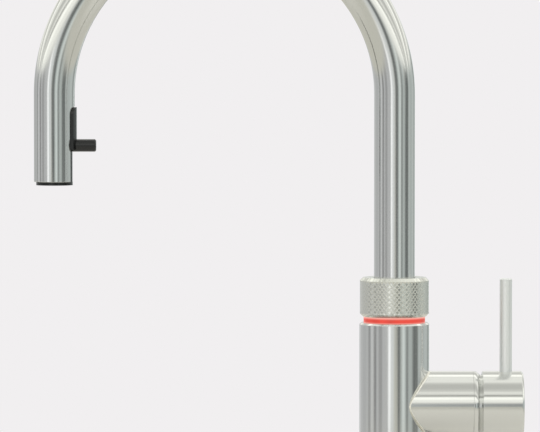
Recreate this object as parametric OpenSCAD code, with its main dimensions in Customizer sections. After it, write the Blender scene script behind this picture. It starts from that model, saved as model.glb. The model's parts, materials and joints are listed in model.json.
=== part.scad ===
// Boiling water tap: a column with a swan-neck spout, a knurled control ring over a light ring,
// a side arm with a mixer cartridge and rod lever, and an outlet that pulls out on a hose.
// Millimetres. The origin is where the column's axis meets the worktop's top face. +Z is up,
// the spout reaches towards -X and the mixer arm towards +X.

/* [Column] */
// Outside diameter of the column
column_d = 48; // [46.5:0.5:56]
// Wall of the column
column_wall = 3.5; // [3.2:0.1:4.2]
// Height of the column's top edge above the worktop
column_h = 118.6; // [116:0.2:180]
// Chamfer on the column's top edge
column_edge = 1.2; // [0.2:0.1:1.5]

/* [Base and fixing] */
// Diameter of the base flange
flange_d = 54; // [52:1:70]
// Thickness of the base flange
flange_h = 5; // [3.5:0.5:10]
// Chamfer on the base flange's top edge
flange_edge = 1; // [0.4:0.1:2]
// Height of the flange's spigot inside the column
spigot_h = 10; // [6:1:16]
// Width of the gasket under the flange
gasket_w = 5; // [3:0.5:6]
// Thickness of the gasket
gasket_t = 1.5; // [1:0.1:2]
// Outside diameter of the threaded shank
shank_d = 33; // [32.6:0.2:35]
// Wall of the threaded shank
shank_wall = 1.75; // [1.25:0.25:2]
// Length of the shank below the worktop's top face
shank_l = 75; // [72:1:120]
// Thickness of the worktop that the tap is clamped to
worktop_t = 30; // [12:1:34]
// Diameter of the two washers under the worktop
washer_d = 50; // [46:1:60]
// Thickness of the rubber washer
rubber_t = 3; // [2:0.5:5]
// Thickness of the steel washer
steel_t = 2; // [1.5:0.5:3]
// Clamp nut, across flats
nut_af = 43; // [41:0.5:50]
// Height of the clamp nut
nut_h = 10; // [8:0.5:12]
// Gap between the steel washer and the clamp nut, which the jack screws bridge
nut_gap = 3; // [1:0.5:6]
// Thread diameter of the jack screws
jack_d = 5; // [4:0.5:5.5]
// How far the jack screws stand out under the clamp nut
jack_out = 3; // [2:0.5:6]
// Number of jack screws
jack_count = 3; // [2, 3, 6]

/* [Spout] */
// Outside diameter of the spout tube
tube_d = 28; // [27:0.2:28.6]
// Wall of the spout tube
tube_wall = 1.5; // [1:0.1:1.6]
// Reach of the spout, from the column's axis to the outlet's axis
spout_reach = 233; // [180:1:260]
// Height at which the spout's half circle starts
arc_z = 275.2; // [274:0.2:340]
// Height of the metal end of the outlet leg
outlet_z = 215.1; // [205:0.1:216]
// Width of the slot in the outlet leg
slot_w = 16; // [12:0.5:17]
// Length of the slot, from the metal end to its top
slot_l = 51.4; // [46:0.2:52.4]
// Radius of the two corners at the slot's top
slot_round = 5; // [3:0.5:5.5]
// Length of the plug's journal in the spout socket
journal_l = 14; // [13.5:0.5:20]
// Length of the plug's upper part inside the spout tube
plug_l = 14; // [8:1:24]

/* [Control ring] */
// Outside diameter of the control ring
ring_d = 47.5; // [46.5:0.5:56]
// Height of the control ring
ring_h = 26.8; // [24:0.2:40]
// Light ring's height that shows between the column and the control ring
ring_gap = 4.2; // [3.8:0.1:6]
// How far the control ring is pushed down
push_travel = 3; // [2:0.1:3.4]
// Height of the bevels at the top and bottom of the control ring
ring_bevel_h = 2.2; // [0.5:0.1:2.6]
// Depth of the same bevels, measured along the radius
ring_bevel_r = 2; // [0.3:0.1:2.1]
// Thickness of the control ring's top around the spout tube
ring_lip_t = 3.1; // [2:0.1:4]
// Number of turns of the return spring
spring_turns = 5; // [4:1:7]
// Wire diameter of the return spring
spring_wire = 1; // [0.6:0.1:1.1]

/* [Light ring] */
// Outside diameter of the light ring
light_d = 42.2; // [42:0.1:42.6]
// Wall of the light ring
light_wall = 2.2; // [1.8:0.1:2.3]
// Number of light-emitting diodes on the board
led_count = 8; // [6, 8, 12]

/* [Mixer] */
// Height of the mixer arm's axis above the worktop
mixer_z = 62; // [56:0.5:62]
// Outside diameter of the mixer arm and the handle cap
arm_d = 46; // [45.5:0.1:47]
// Bore of the mixer arm, which holds the cartridge
arm_bore_d = 36.4; // [35.8:0.1:37]
// Distance from the column's axis to the end of the straight arm, where the dome starts
arm_reach = 54; // [52.4:0.2:67]
// Distance from the lever's pivot to the end of the straight arm
pivot_set = 1.6; // [0.6:0.1:2]
// Length of the dome's straight start
dome_flat = 1.9; // [1:0.1:2]
// Depth of the groove in front of the handle cap
groove_d = 2.9; // [1:0.1:3.4]
// Distance from the lever's pivot to the handle cap's rim
cap_gap = 8; // [7:0.1:8.4]
// Length of the handle cap
cap_l = 28; // [27:0.5:40]
// Chamfer at the closed end of the handle cap
cap_edge = 1.3; // [0.4:0.1:2.5]
// Diameter of the lever rod
rod_d = 8.5; // [6:0.1:9]
// Distance from the handle cap's rim to the lever rod's axis
rod_set = 16.1; // [15:0.1:18]
// Height of the lever rod's top above the mixer arm's axis
rod_h = 86.8; // [60:0.2:120]
// Width of the square lever stem
stem_w = 6; // [5:0.1:6.2]
// Radius of the lower lever arm, from the pivot pin to the ball that drives the disc
stem_arm = 9; // [8.8:0.1:9.4]
// How far the lever tilts from closed to fully open, in degrees
lever_tilt = 20; // [10:1:20]
// Diameter of the pivot pin
pin_d = 3; // [2.5:0.1:3.4]

/* [Pull-out head] */
// Height of the black lip that shows under the metal end
lip_h = 2.3; // [1.5:0.1:4]
// Outside diameter of the lip
lip_d = 25.1; // [24.8:0.1:27.5]
// Wall of the nozzle body
nozzle_wall = 1.4; // [1:0.1:1.4]
// How far the grip tongue stands proud of the spout tube
tongue_proud = 1.4; // [0.6:0.1:2.5]
// Height of the grip pin's axis above the metal end
pin_up = 24.9; // [20:0.1:30]
// Diameter of the grip pin
grip_d = 8.6; // [6:0.1:12]
// Distance from the outlet's axis to the grip pin's tip
grip_reach = 28.6; // [22:0.1:34]
// Diameter of the central boiling nozzle
boil_nozzle_d = 4.4; // [3.6:0.1:5]
// Distance from the slot's top down to the top of the water ways' core
core_drop = 6.5; // [6:0.5:7]
// Depth of the hose ferrule's seat in the core
ferrule_l = 14; // [12:0.5:15]
// Length of the core below the ferrule's seat
core_l = 14; // [12:0.5:15]
// Height of the boiling water's cross hole above the core's lower end
boil_rise = 8; // [6:0.5:9]

/* [Hose and water ways] */
// Outside diameter of the pull-out hose
hose_d = 12; // [10:0.5:12]
// Wall of the pull-out hose
hose_wall = 2; // [1:0.25:2]
// Diameter of the boiling water riser in the spout
boil_d = 4.4; // [3:0.1:4.4]
// Diameter of the tubes inside the column
riser_d = 5; // [4:0.25:5]
// Radius of the bends in the tubes to the cartridge
riser_bend = 8; // [6:0.5:9]
// Drilled diameter of the threaded inlets
inlet_d = 9; // [7:0.1:9]
// Depth of the threaded inlets
inlet_l = 10; // [6:0.5:11]

/* [Fits] */
// Gap per side between pieces that are seated in one another
seat_gap = 0.05; // [0.02:0.01:0.08]
// Gap per side of a turning or sliding fit
run_gap = 0.05; // [0.03:0.01:0.08]
// Gap per side between pieces that pass without touching
free_gap = 0.4; // [0.3:0.05:0.5]

/* [Hidden] */
$fn = 72;
cut = 1;             // how far a cutting shape runs past the face that it opens

// radii of the column and what stands in it
column_r = column_d / 2;
bore_r = column_r - column_wall;
seat_r = bore_r - seat_gap;
shank_r = shank_d / 2;
shank_in = shank_r - shank_wall;
gasket_r = flange_d / 2 - 3;

// the shank's stack under the worktop
rubber_z = -worktop_t - rubber_t;
steel_z = rubber_z - steel_t;
nut_z = steel_z - nut_gap - nut_h;
washer_in = shank_r + free_gap;
jack_r = (shank_r + nut_af / sqrt(3)) / 2;

// the spout's tube, hose and boiling riser
tube_r = tube_d / 2;
tube_in = tube_r - tube_wall;
bend_r = spout_reach / 2;
slot_top = outlet_z + slot_l;
hose_r = hose_d / 2;
hose_in = hose_r - hose_wall;
hose_bore = hose_r + 0.6;
boil_r = boil_d / 2;
boil_in = boil_r - 0.7;
boil_off = (hose_bore + tube_in) / 2 - 0.3;
spigot_r = 1.2;

// the sleeves round the spout tube, from the inside out
bush_t = 0.9;
socket_in = tube_r + run_gap + bush_t + seat_gap;
socket_out = socket_in + 1.5;
sleeve_in = socket_out + run_gap;
clip_out = socket_out + 1.6;
clip_in = socket_out - 0.6;
sleeve_step = clip_out + 0.2;
sleeve_out = sleeve_step + 0.9;
ring_bore = sleeve_out + run_gap;
ring_r = ring_d / 2;
spring_r = (sleeve_in + sleeve_out) / 2;
snap_in = spring_r + spring_wire / 2 + 0.2;
snap_out = ring_bore + 0.95;
light_r = light_d / 2;
light_in = light_r - light_wall;

// heights of the same stack, from the light ring up
light_z = column_h - 3.6;
light_top = column_h + ring_gap + 0.5;
ring_z = column_h + ring_gap;
ring_top = ring_z + ring_h;
ring_roof = light_top + push_travel + 0.3;
snap_t = 1;
snap_z = ring_roof + 0.5;
sleeve_z = snap_z + snap_t + run_gap;
lip_z = ring_top - ring_lip_t;
sleeve_top = lip_z - run_gap;
flange_t = 0.6;
collar_t = 2.8;
collar_z = lip_z - push_travel - free_gap - collar_t;
socket_top = collar_z - run_gap - flange_t;
clip_t = 1.2;
clip_z = socket_top - 3.2;
bush_l = 9;

// heights of the socket below the light ring
board_t = 1.6;
led_h = 1.3;
shoulder_z = light_z - 0.1 - led_h - board_t;
step_z = shoulder_z - journal_l;
socket_z = step_z - journal_l;
tube_z = step_z + free_gap;
journal_r = tube_in - 0.5;
plug_z = socket_z + free_gap;
plug_top = tube_z + plug_l;
seal_wire = 0.9;
seal_r = journal_r + run_gap - 0.01 - seal_wire;
seal_heights = [2.7, 7.5, 12];
boil_groove = 5.1;
boil_port = socket_z + boil_groove;
port_off = (journal_r + seat_r) / 2;

// tubes inside the column and the manifold at the shank's end
riser_r = riser_d / 2;
riser_in = riser_r - 0.6;
riser_off = (hose_bore + shank_in) / 2 - 1.2;
manifold_r = shank_in - seat_gap;
manifold_h = 15;
manifold_top = manifold_h - shank_l;
channel_r = 1.6;
drill_r = 1.4;
riser_z = manifold_top - 3;
nipple_l = 12;
port_rise = 8;

// the mixer arm's stack, as distances from the column's axis along the arm
arm_r = arm_d / 2;
arm_bore = arm_bore_d / 2;
pivot_x = arm_reach - pivot_set;
ball_x = pivot_x - stem_arm;
driver_x = ball_x - 2.6;
disc_t = 3;
disc_x = driver_x - disc_t;
fixed_x = disc_x - 0.1 - disc_t;
housing_back = 2.9;
housing_x = fixed_x - housing_back;
seat_t = 5.5;
seat_x = housing_x - seat_t;
driver_t = 4;
yoke_x = driver_x + 1;
lid_x = yoke_x + 4.1;
nut_x = lid_x + 1.4;
neck_x = lid_x + 3.9;
yoke_end = pivot_x + 3.4;
housing_r = arm_bore - seat_gap;
cavity_r = housing_r - 3.6;
yoke_r = 9.5;
disc_r = cavity_r - 2.6;
disc_shift = stem_arm * lever_tilt * PI / 360;
dome_l = 17;
dome_ball = arm_r - 0.4;
dome_in = dome_ball - 1.1;
groove_x = cap_gap - 1.1;
groove_rise = 1.75;
dome_spigot_in = arm_bore + 0.5;
dome_spigot_out = dome_spigot_in + 1.5;
cap_hollow = arm_r + 0.55;
cap_x = pivot_x + cap_gap;
cap_end = cap_gap + cap_l;
rod_r = rod_d / 2;
rod_x = cap_x + rod_set;
rod_near = cap_gap + rod_set - rod_r;
rod_root = sqrt(max(1, cap_hollow * cap_hollow - rod_near * rod_near)) + 2.5;
grub_x = (cap_hollow + cap_end) / 2;
grub_r = 2;

// the pull-out head, as heights
nozzle_r = tube_in - 0.1;
nozzle_in = nozzle_r - nozzle_wall;
core_r = nozzle_in - seat_gap;
nozzle_top = slot_top + 1.5;
grip_z = outlet_z + pin_up;
ferrule_out = hose_r + 0.8;
core_top = slot_top - core_drop;
ferrule_z = core_top - ferrule_l;
core_z = ferrule_z - core_l;
boil_turn = core_z + boil_rise;
aerator_z = outlet_z - 1.1;
aerator_h = 8;
tongue_gap = 0.3;

module tube_z(r_out, r_in, z0, z1) {
    translate([0, 0, z0]) difference() {
        cylinder(r = r_out, h = z1 - z0);
        translate([0, 0, -cut]) cylinder(r = r_in, h = z1 - z0 + 2 * cut);
    }
}

module rod_z(r, z0, z1) {
    translate([0, 0, z0]) cylinder(r = r, h = z1 - z0);
}

// Along the mixer arm: what is drawn along Z lies along +X, and what points to -X points up
module on_arm(x = 0) {
    translate([x, 0, mixer_z]) rotate([0, 90, 0]) children();
}

module on_leg() {
    translate([-spout_reach, 0, 0]) children();
}

// A bar along +X with its two upper corners rounded: the slot's shape, and the grip tongue's
module slot_prism(half, corner, z0, z1) {
    translate([0, -half, z0]) cube([tube_d, 2 * half, z1 - corner - z0]);
    translate([0, corner - half, z0]) cube([tube_d, 2 * (half - corner), z1 - z0]);
    for (y = [corner - half, half - corner]) translate([0, y, z1 - corner]) rotate([0, 90, 0])
        cylinder(r = corner, h = tube_d);
}

// A round bar that follows the spout's centreline, moved sideways by y
module swan(r, y, leg_z, column_z) {
    translate([0, y, 0]) {
        rod_z(r, column_z, arc_z);
        on_leg() rod_z(r, leg_z, arc_z);
        translate([-bend_r, 0, arc_z]) rotate([90, 0, 0]) rotate_extrude(angle = 180)
            translate([bend_r, 0]) circle(r = r);
    }
}

// ---- column and base ----

module column_body() {
    color("silver") difference() {
        rotate_extrude() polygon([
            [bore_r, flange_h], [column_r, flange_h],
            [column_r, column_h - column_edge], [column_r - column_edge, column_h],
            [light_r + seat_gap, column_h], [light_r + seat_gap, light_z], [bore_r, light_z]
        ]);
        on_arm() cylinder(r = arm_bore, h = column_d);
    }
}

module base_flange() {
    color("silver") rotate_extrude() polygon([
        [shank_r + seat_gap, 0], [gasket_r - gasket_w, 0], [gasket_r - gasket_w, gasket_t],
        [gasket_r, gasket_t], [gasket_r, 0], [flange_d / 2, 0],
        [flange_d / 2, flange_h - flange_edge], [flange_d / 2 - flange_edge, flange_h],
        [seat_r, flange_h], [seat_r, flange_h + spigot_h],
        [shank_r + seat_gap, flange_h + spigot_h]
    ]);
}

module base_gasket() {
    color("dimgray") tube_z(gasket_r - seat_gap, gasket_r - gasket_w + seat_gap, 0, gasket_t);
}

module threaded_shank() {
    lead = 0.8;      // chamfer that leads the nut onto the thread
    color("silver") rotate_extrude() polygon([
        [shank_in, -shank_l], [shank_r - lead, -shank_l], [shank_r, lead - shank_l],
        [shank_r, flange_h + spigot_h], [shank_in, flange_h + spigot_h]
    ]);
}

module rubber_washer() {
    color("dimgray") tube_z(washer_d / 2, washer_in, rubber_z, -worktop_t);
}

module steel_washer() {
    color("lightgray") tube_z(washer_d / 2, washer_in, steel_z, rubber_z);
}

module clamp_nut() {
    color("goldenrod") difference() {
        translate([0, 0, nut_z]) cylinder(d = nut_af * 2 / sqrt(3), h = nut_h, $fn = 6);
        translate([0, 0, nut_z - cut]) cylinder(r = shank_r + seat_gap, h = nut_h + 2 * cut);
        jack_places() translate([0, 0, nut_z - cut])
            cylinder(r = jack_d / 2 + seat_gap, h = nut_h + 2 * cut);
    }
}

module jack_places() {
    for (i = [0 : jack_count - 1]) rotate(i * 360 / jack_count) translate([jack_r, 0, 0]) children();
}

module jack_screws() {
    slot_deep = 1.2;
    color("lightgray") jack_places() difference() {
        rod_z(jack_d / 2, nut_z - jack_out, steel_z);
        translate([-jack_d, -0.5, nut_z - jack_out - cut]) cube([2 * jack_d, 1, slot_deep + cut]);
    }
}

// ---- water ways in the column ----

// The three inlets, each with its angle round the shank
inlet_angles = [60, -60, 180];

module inlet_manifold() {
    color("goldenrod") difference() {
        union() {
            rod_z(manifold_r, -shank_l, manifold_top);
            rod_z(hose_in - seat_gap, manifold_top - cut, manifold_top + nipple_l);
        }
        for (a = inlet_angles) rotate(a) translate([riser_off, 0, 0]) {
            rod_z(inlet_d / 2, -shank_l - cut, inlet_l - shank_l);
            rod_z(drill_r, -shank_l, manifold_top);
        }
        for (a = concat(inlet_angles, [0])) rotate(a) translate([riser_off, 0, 0])
            rod_z(riser_r + seat_gap, riser_z, manifold_top + cut);
        translate([0, 0, riser_z]) rotate([0, 90, 0]) cylinder(r = channel_r, h = riser_off);
        rod_z(drill_r, riser_z, manifold_top + nipple_l + cut);
    }
}

// A tube that rises from the manifold at an angle and turns into the cartridge seat at port_h
module riser(a, port_h) {
    x = riser_off * cos(a);
    translate([x, riser_off * sin(a), 0]) {
        tube_z(riser_r, riser_in, riser_z, port_h - riser_bend);
        translate([riser_bend, 0, port_h - riser_bend]) rotate([90, 0, 0]) rotate(90)
            rotate_extrude(angle = 90) translate([riser_bend, 0]) difference() {
                circle(r = riser_r);
                circle(r = riser_in);
            }
        translate([riser_bend, 0, port_h]) rotate([0, 90, 0])
            tube_z(riser_r, riser_in, 0, seat_x + 3 - x - riser_bend);
    }
}

module cold_tube() {
    color("peru") riser(inlet_angles[0], mixer_z - port_rise);
}

module hot_tube() {
    color("peru") riser(inlet_angles[1], mixer_z - port_rise);
}

module mixed_tube() {
    color("peru") riser(0, mixer_z + port_rise);
}

// Straight up beside the hose and out at 45 degrees to the socket's port, with a round elbow at
// each turn
module feed_bar(r, past) {
    jog = port_off - riser_off;
    top = socket_z - riser_r - 1;
    translate([-riser_off, 0, 0]) rod_z(r, riser_z - past, top - jog);
    translate([-riser_off, 0, top - jog]) sphere(r = r + 0.2);
    translate([-riser_off, 0, top - jog]) rotate([0, -45, 0]) rod_z(r, 0, jog * sqrt(2));
    translate([-port_off, 0, top]) sphere(r = r + 0.2);
    translate([-port_off, 0, 0]) rod_z(r, top, boil_port - channel_r - 1 - seat_gap + past);
}

module boiling_feed_tube() {
    color("peru") difference() {
        feed_bar(riser_r, 0);
        feed_bar(riser_in, cut);
    }
}

module hose_lower() {
    color("dimgray") tube_z(hose_r, hose_in, manifold_top, plug_z - run_gap);
}

// ---- spout socket, bushes and light ----

module spout_socket() {
    color("goldenrod") difference() {
        rotate_extrude() polygon([
            [journal_r + run_gap, socket_z], [seat_r, socket_z], [seat_r, shoulder_z],
            [socket_out, shoulder_z], [socket_out, socket_top], [socket_in, socket_top],
            [socket_in, step_z], [journal_r + run_gap, step_z]
        ]);
        tube_z(socket_out + cut, clip_in, clip_z, clip_z + clip_t);
        translate([-port_off, 0, 0]) {
            rod_z(riser_r + seat_gap, socket_z - cut, boil_port - channel_r - 1);
            rod_z(drill_r, socket_z, boil_port);
        }
        translate([-port_off, 0, boil_port]) rotate([0, 90, 0])
            cylinder(r = channel_r, h = port_off - journal_r + cut);
    }
}

module upper_bush() {
    color("white") rotate_extrude() polygon([
        [tube_r + run_gap, socket_top - bush_l], [socket_in - seat_gap, socket_top - bush_l],
        [socket_in - seat_gap, socket_top], [socket_out, socket_top],
        [socket_out, socket_top + flange_t], [tube_r + run_gap, socket_top + flange_t]
    ]);
}

module lower_bush() {
    color("white") tube_z(socket_in - seat_gap, tube_r + run_gap, tube_z, tube_z + bush_l);
}

module socket_circlip() {
    gap_angle = 40;  // opening of the circlip, on the side away from the spout
    color("lightgray") translate([0, 0, clip_z + seat_gap]) rotate(gap_angle / 2)
        rotate_extrude(angle = 360 - gap_angle) translate([clip_in + seat_gap, 0])
            square([clip_out - clip_in - seat_gap, clip_t - 2 * seat_gap]);
}

// A coil as a tube of flat sides swept along a helix, between the board and the push sleeve
module return_spring() {
    sides = 8;
    steps = 24;
    low = shoulder_z + spring_wire / 2 + 0.1;
    high = sleeve_z - spring_wire / 2 - 0.1;
    rings = spring_turns * steps;
    points = [
        for (i = [0 : rings], k = [0 : sides - 1])
            let (turn = i * 360 / steps, side = k * 360 / sides,
                 r = spring_r + spring_wire / 2 * cos(side))
            [r * cos(turn), r * sin(turn),
             low + (high - low) * i / rings + spring_wire / 2 * sin(side)]
    ];
    walls = [
        for (i = [0 : rings - 1], k = [0 : sides - 1])
            let (next = (k + 1) % sides)
            [i * sides + k, i * sides + next, (i + 1) * sides + next, (i + 1) * sides + k]
    ];
    first = [for (k = [sides - 1 : -1 : 0]) k];
    last = [for (k = [0 : sides - 1]) rings * sides + k];
    color("lightgray") polyhedron(points, concat(walls, [first], [last]));
}

module light_ring() {
    color("tomato") tube_z(light_r, light_in, light_z, light_top);
}

module sensor_board() {
    led_w = 2;
    led_deep = 1;
    led_r = seat_r - 0.2 - led_deep;
    color("green") {
        tube_z(seat_r, light_in, shoulder_z, shoulder_z + board_t);
        for (i = [0 : led_count - 1]) rotate((i + 0.5) * 360 / led_count)
            translate([led_r, -led_w / 2, shoulder_z + board_t]) cube([led_deep, led_w, led_h]);
    }
}

// ---- mixer arm and cartridge ----

module mixer_arm() {
    color("silver") difference() {
        on_arm() cylinder(r = arm_r, h = arm_reach);
        on_arm() translate([0, 0, -cut]) cylinder(r = arm_bore, h = arm_reach + 2 * cut);
        on_arm() rod_z(dome_spigot_out + seat_gap, nut_x + 0.3, arm_reach + cut);
        cylinder(r = column_r, h = column_h);
    }
}

// The arm's three water ports, as places on its cross section
module port_places() {
    side = riser_off * sin(inlet_angles[0]);
    for (p = [[port_rise, side], [port_rise, -side], [-port_rise, 0]])
        translate([p[0], p[1], 0]) children();
}

module cartridge_seat() {
    color("goldenrod") on_arm() difference() {
        rod_z(housing_r, seat_x, housing_x);
        port_places() {
            rod_z(riser_r + seat_gap, seat_x - cut, seat_x + 3 + seat_gap);
            rod_z(channel_r, seat_x, housing_x + cut);
        }
    }
}

module cartridge_housing() {
    color("dimgray") on_arm() difference() {
        rotate_extrude() polygon([
            [0, housing_x], [housing_r, housing_x], [housing_r, nut_x], [yoke_r + 3.5, nut_x],
            [yoke_r + 3.5, neck_x], [yoke_r + run_gap, neck_x], [yoke_r + run_gap, lid_x],
            [cavity_r, lid_x], [cavity_r, fixed_x], [0, fixed_x]
        ]);
        port_places() rod_z(channel_r, housing_x - cut, fixed_x + cut);
    }
}

module fixed_disc() {
    color("white") on_arm() difference() {
        rod_z(cavity_r - seat_gap, fixed_x, fixed_x + disc_t);
        port_places() rod_z(channel_r, fixed_x - cut, fixed_x + disc_t + cut);
    }
}

module cartridge_nut() {
    color("goldenrod") on_arm()
        tube_z(housing_r, yoke_r + 3.5 + seat_gap, nut_x, nut_x + 4.5);
}

// The arm's end slopes down into a groove, rises again and goes on as a ball round the pivot,
// over which the handle cap turns and tilts
module dome_cover() {
    spigot_l = arm_reach - nut_x - 0.5;
    color("silver") on_arm(pivot_x) rotate_extrude() difference() {
        union() {
            polygon([
                [0, pivot_set], [arm_r, pivot_set], [arm_r, pivot_set + dome_flat],
                [arm_r - groove_d, groove_x], [0, groove_x + cut]
            ]);
            intersection() {
                circle(r = dome_ball);
                polygon([
                    [0, pivot_set], [arm_r - groove_d, groove_x],
                    [arm_r, groove_x + groove_d / groove_rise], [arm_r, dome_l], [0, dome_l]
                ]);
            }
            translate([0, pivot_set - spigot_l]) square([dome_spigot_out, spigot_l + cut]);
        }
        intersection() {
            circle(r = dome_in);
            square([dome_spigot_in, arm_r]);
        }
        translate([0, -arm_r]) square([dome_spigot_in, arm_r]);
    }
}

// ---- spout ----

module spout_tube() {
    color("silver") difference() {
        swan(tube_r, 0, outlet_z, tube_z);
        swan(tube_in, 0, outlet_z - cut, tube_z - cut);
        on_leg() slot_prism(slot_w / 2, slot_round, outlet_z - cut, slot_top);
    }
}

module spout_plug() {
    seal_half = seal_wire + 0.1;
    color("goldenrod") difference() {
        rotate_extrude() polygon([
            [hose_bore, plug_z], [journal_r, plug_z], [journal_r, tube_z],
            [tube_in - seat_gap, tube_z], [tube_in - seat_gap, plug_top], [hose_bore, plug_top]
        ]);
        for (h = seal_heights) tube_z(journal_r + cut, seal_r - seal_half,
                                      socket_z + h - seal_half, socket_z + h + seal_half);
        tube_z(journal_r + cut, journal_r - 1.2, boil_port - 0.7, boil_port + 0.7);
        translate([0, boil_off, 0]) {
            rod_z(boil_in, boil_port, plug_top);
            rod_z(boil_r + seat_gap, plug_top - 6, plug_top + cut);
        }
    }
}

module plug_orings() {
    color("black") for (h = seal_heights) translate([0, 0, socket_z + h])
        rotate_extrude() translate([seal_r, 0]) circle(r = seal_wire);
}

module thrust_collar() {
    color("lightgray") tube_z(socket_out, tube_r + seat_gap, collar_z, collar_z + collar_t);
}

module boiling_riser() {
    color("lightgray") difference() {
        swan(boil_r, boil_off, nozzle_top + 4, plug_top - 6);
        swan(boil_in, boil_off, nozzle_top + 4 - cut, plug_top - 6 - cut);
    }
}

// Runs into the pull-out head when that is docked
module boiling_spigot() {
    color("goldenrod") on_leg() translate([0, boil_off, 0]) difference() {
        union() {
            rod_z(boil_r, nozzle_top + 0.6, nozzle_top + 4);
            rod_z(spigot_r, core_top - 7, nozzle_top + 1);
        }
        rod_z(spigot_r - 0.4, core_top - 8, nozzle_top + 5);
    }
}

module hose_upper() {
    color("gray") difference() {
        swan(hose_r, 0, arc_z - cut, plug_z);
        swan(hose_in, 0, arc_z - 2 * cut, plug_z - cut);
        on_leg() rod_z(hose_r + cut, arc_z - 3 * cut, arc_z);
    }
}

module hose_leg() {
    color("gray") on_leg() tube_z(hose_r, hose_in, ferrule_z + 1, arc_z);
}

// ---- pull-out head ----

module nozzle_body() {
    lip_top = outlet_z - 0.1;
    color("darkslategray") on_leg() rotate_extrude() polygon([
        [nozzle_in, outlet_z - lip_h], [lip_d / 2, outlet_z - lip_h], [lip_d / 2, lip_top],
        [nozzle_r, lip_top], [nozzle_r, nozzle_top], [nozzle_in, nozzle_top]
    ]);
}

// Fills the slot from its top down to the pin, which it straddles, and stands proud of the tube
module grip_tongue() {
    foot = grip_z - grip_d / 3;
    color("darkslategray") on_leg() difference() {
        intersection() {
            tube_z(tube_r + tongue_proud, nozzle_r, grip_z - grip_d, slot_top);
            slot_prism(slot_w / 2 - tongue_gap, slot_round - tongue_gap, foot, slot_top - tongue_gap);
        }
        translate([0, 0, grip_z]) rotate([0, 90, 0]) cylinder(r = grip_d / 2, h = tube_d);
    }
}

module grip_pin() {
    edge = 0.8;
    color("darkslategray") on_leg() translate([0, 0, grip_z]) rotate([0, 90, 0]) difference() {
        rotate_extrude() polygon([
            [0, nozzle_r - 2], [grip_d / 2, nozzle_r - 2], [grip_d / 2, grip_reach - edge],
            [grip_d / 2 - edge, grip_reach], [0, grip_reach]
        ]);
        rotate([0, -90, 0]) translate([0, 0, -grip_d]) cylinder(r = nozzle_r, h = 2 * grip_d);
    }
}

module head_core() {
    hole_r = 1.2;
    hole_ring = 4.5;
    color("white") on_leg() difference() {
        rod_z(core_r, core_z, core_top);
        rod_z(ferrule_out + seat_gap, ferrule_z, core_top + cut);
        for (i = [0 : 5]) rotate(i * 60) translate([hole_ring, 0, 0])
            rod_z(hole_r, core_z - cut, ferrule_z + cut);
        translate([0, boil_off, 0]) rod_z(spigot_r + run_gap, boil_turn, core_top + cut);
        translate([0, 0, boil_turn]) rotate([-90, 0, 0]) cylinder(r = 0.9, h = boil_off);
        rod_z(boil_nozzle_d / 2 - 0.8, core_z, boil_turn);
        rod_z(boil_nozzle_d / 2 + seat_gap, core_z - cut, core_z + 2);
    }
}

module boiling_nozzle() {
    color("lightgray") on_leg()
        tube_z(boil_nozzle_d / 2, boil_nozzle_d / 2 - 0.8, aerator_z - 0.6, core_z + 2);
}

module aerator() {
    hole_r = 0.6;
    color("dimgray") on_leg() difference() {
        rod_z(core_r, aerator_z, aerator_z + aerator_h);
        rod_z(boil_nozzle_d / 2 + seat_gap, aerator_z - cut, aerator_z + aerator_h + cut);
        for (ring = [[5, 10], [8.2, 16]], i = [0 : ring[1] - 1])
            rotate(i * 360 / ring[1]) translate([ring[0], 0, 0])
                rod_z(hole_r, aerator_z - cut, aerator_z + aerator_h + cut);
    }
}

module hose_ferrule() {
    color("lightgray") on_leg() tube_z(ferrule_out, hose_r + run_gap, ferrule_z, core_top + 2);
}

// ---- control ring ----

module push_sleeve() {
    step = clip_z - run_gap;
    color("ivory") rotate_extrude() polygon([
        [sleeve_in, sleeve_z], [sleeve_out, sleeve_z], [sleeve_out, sleeve_top],
        [sleeve_step, sleeve_top], [sleeve_step, step], [sleeve_in, step]
    ]);
}

module magnet_places() {
    for (i = [0 : 3]) rotate(45 + i * 90) translate([0, 0, ring_roof + 6]) rotate([0, 90, 0])
        children();
}

module control_ring() {
    deep = light_r + free_gap;
    color("lightslategray") difference() {
        rotate_extrude() polygon([
            [deep, ring_z], [ring_r - ring_bevel_r, ring_z], [ring_r, ring_z + ring_bevel_h],
            [ring_r, ring_top - ring_bevel_h], [ring_r - ring_bevel_r, ring_top],
            [tube_r + free_gap, ring_top], [tube_r + free_gap, lip_z], [ring_bore, lip_z],
            [ring_bore, ring_roof], [deep, ring_roof]
        ]);
        tube_z(snap_out + seat_gap, sleeve_in, snap_z - run_gap, snap_z + snap_t + run_gap);
        magnet_places() cylinder(r = 1.5 + seat_gap, h = ring_bore + 2.5);
    }
}

module snap_ring() {
    gap_angle = 36;
    color("lightgray") translate([0, 0, snap_z]) rotate(gap_angle / 2)
        rotate_extrude(angle = 360 - gap_angle) translate([snap_in, 0])
            square([snap_out - snap_in, snap_t]);
}

module ring_magnets() {
    color("dimgray") difference() {
        magnet_places() translate([0, 0, ring_bore - 0.5]) cylinder(r = 1.5, h = 2.95);
        rod_z(ring_bore, ring_roof, ring_top);
    }
}

// ---- mixer's moving pieces ----

module yoke() {
    driver_w = 14.2;
    opening = 7;     // half of the room that the stem needs up and down
    color("beige") on_arm() difference() {
        union() {
            rod_z(cavity_r - 0.5, yoke_x, lid_x - 0.1);
            rod_z(yoke_r, lid_x - 0.2, yoke_end);
        }
        translate([-housing_r, -driver_w / 2, yoke_x - cut])
            cube([2 * housing_r, driver_w, driver_t - 0.8 + cut]);
        translate([-opening, -stem_w / 2 - 0.15, yoke_x - cut])
            cube([2 * opening, stem_w + 0.3, yoke_end - yoke_x + 2 * cut]);
        translate([0, 0, pivot_x]) rotate([90, 0, 0])
            cylinder(r = pin_d / 2 + seat_gap, h = 4 * yoke_r, center = true);
    }
}

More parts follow.
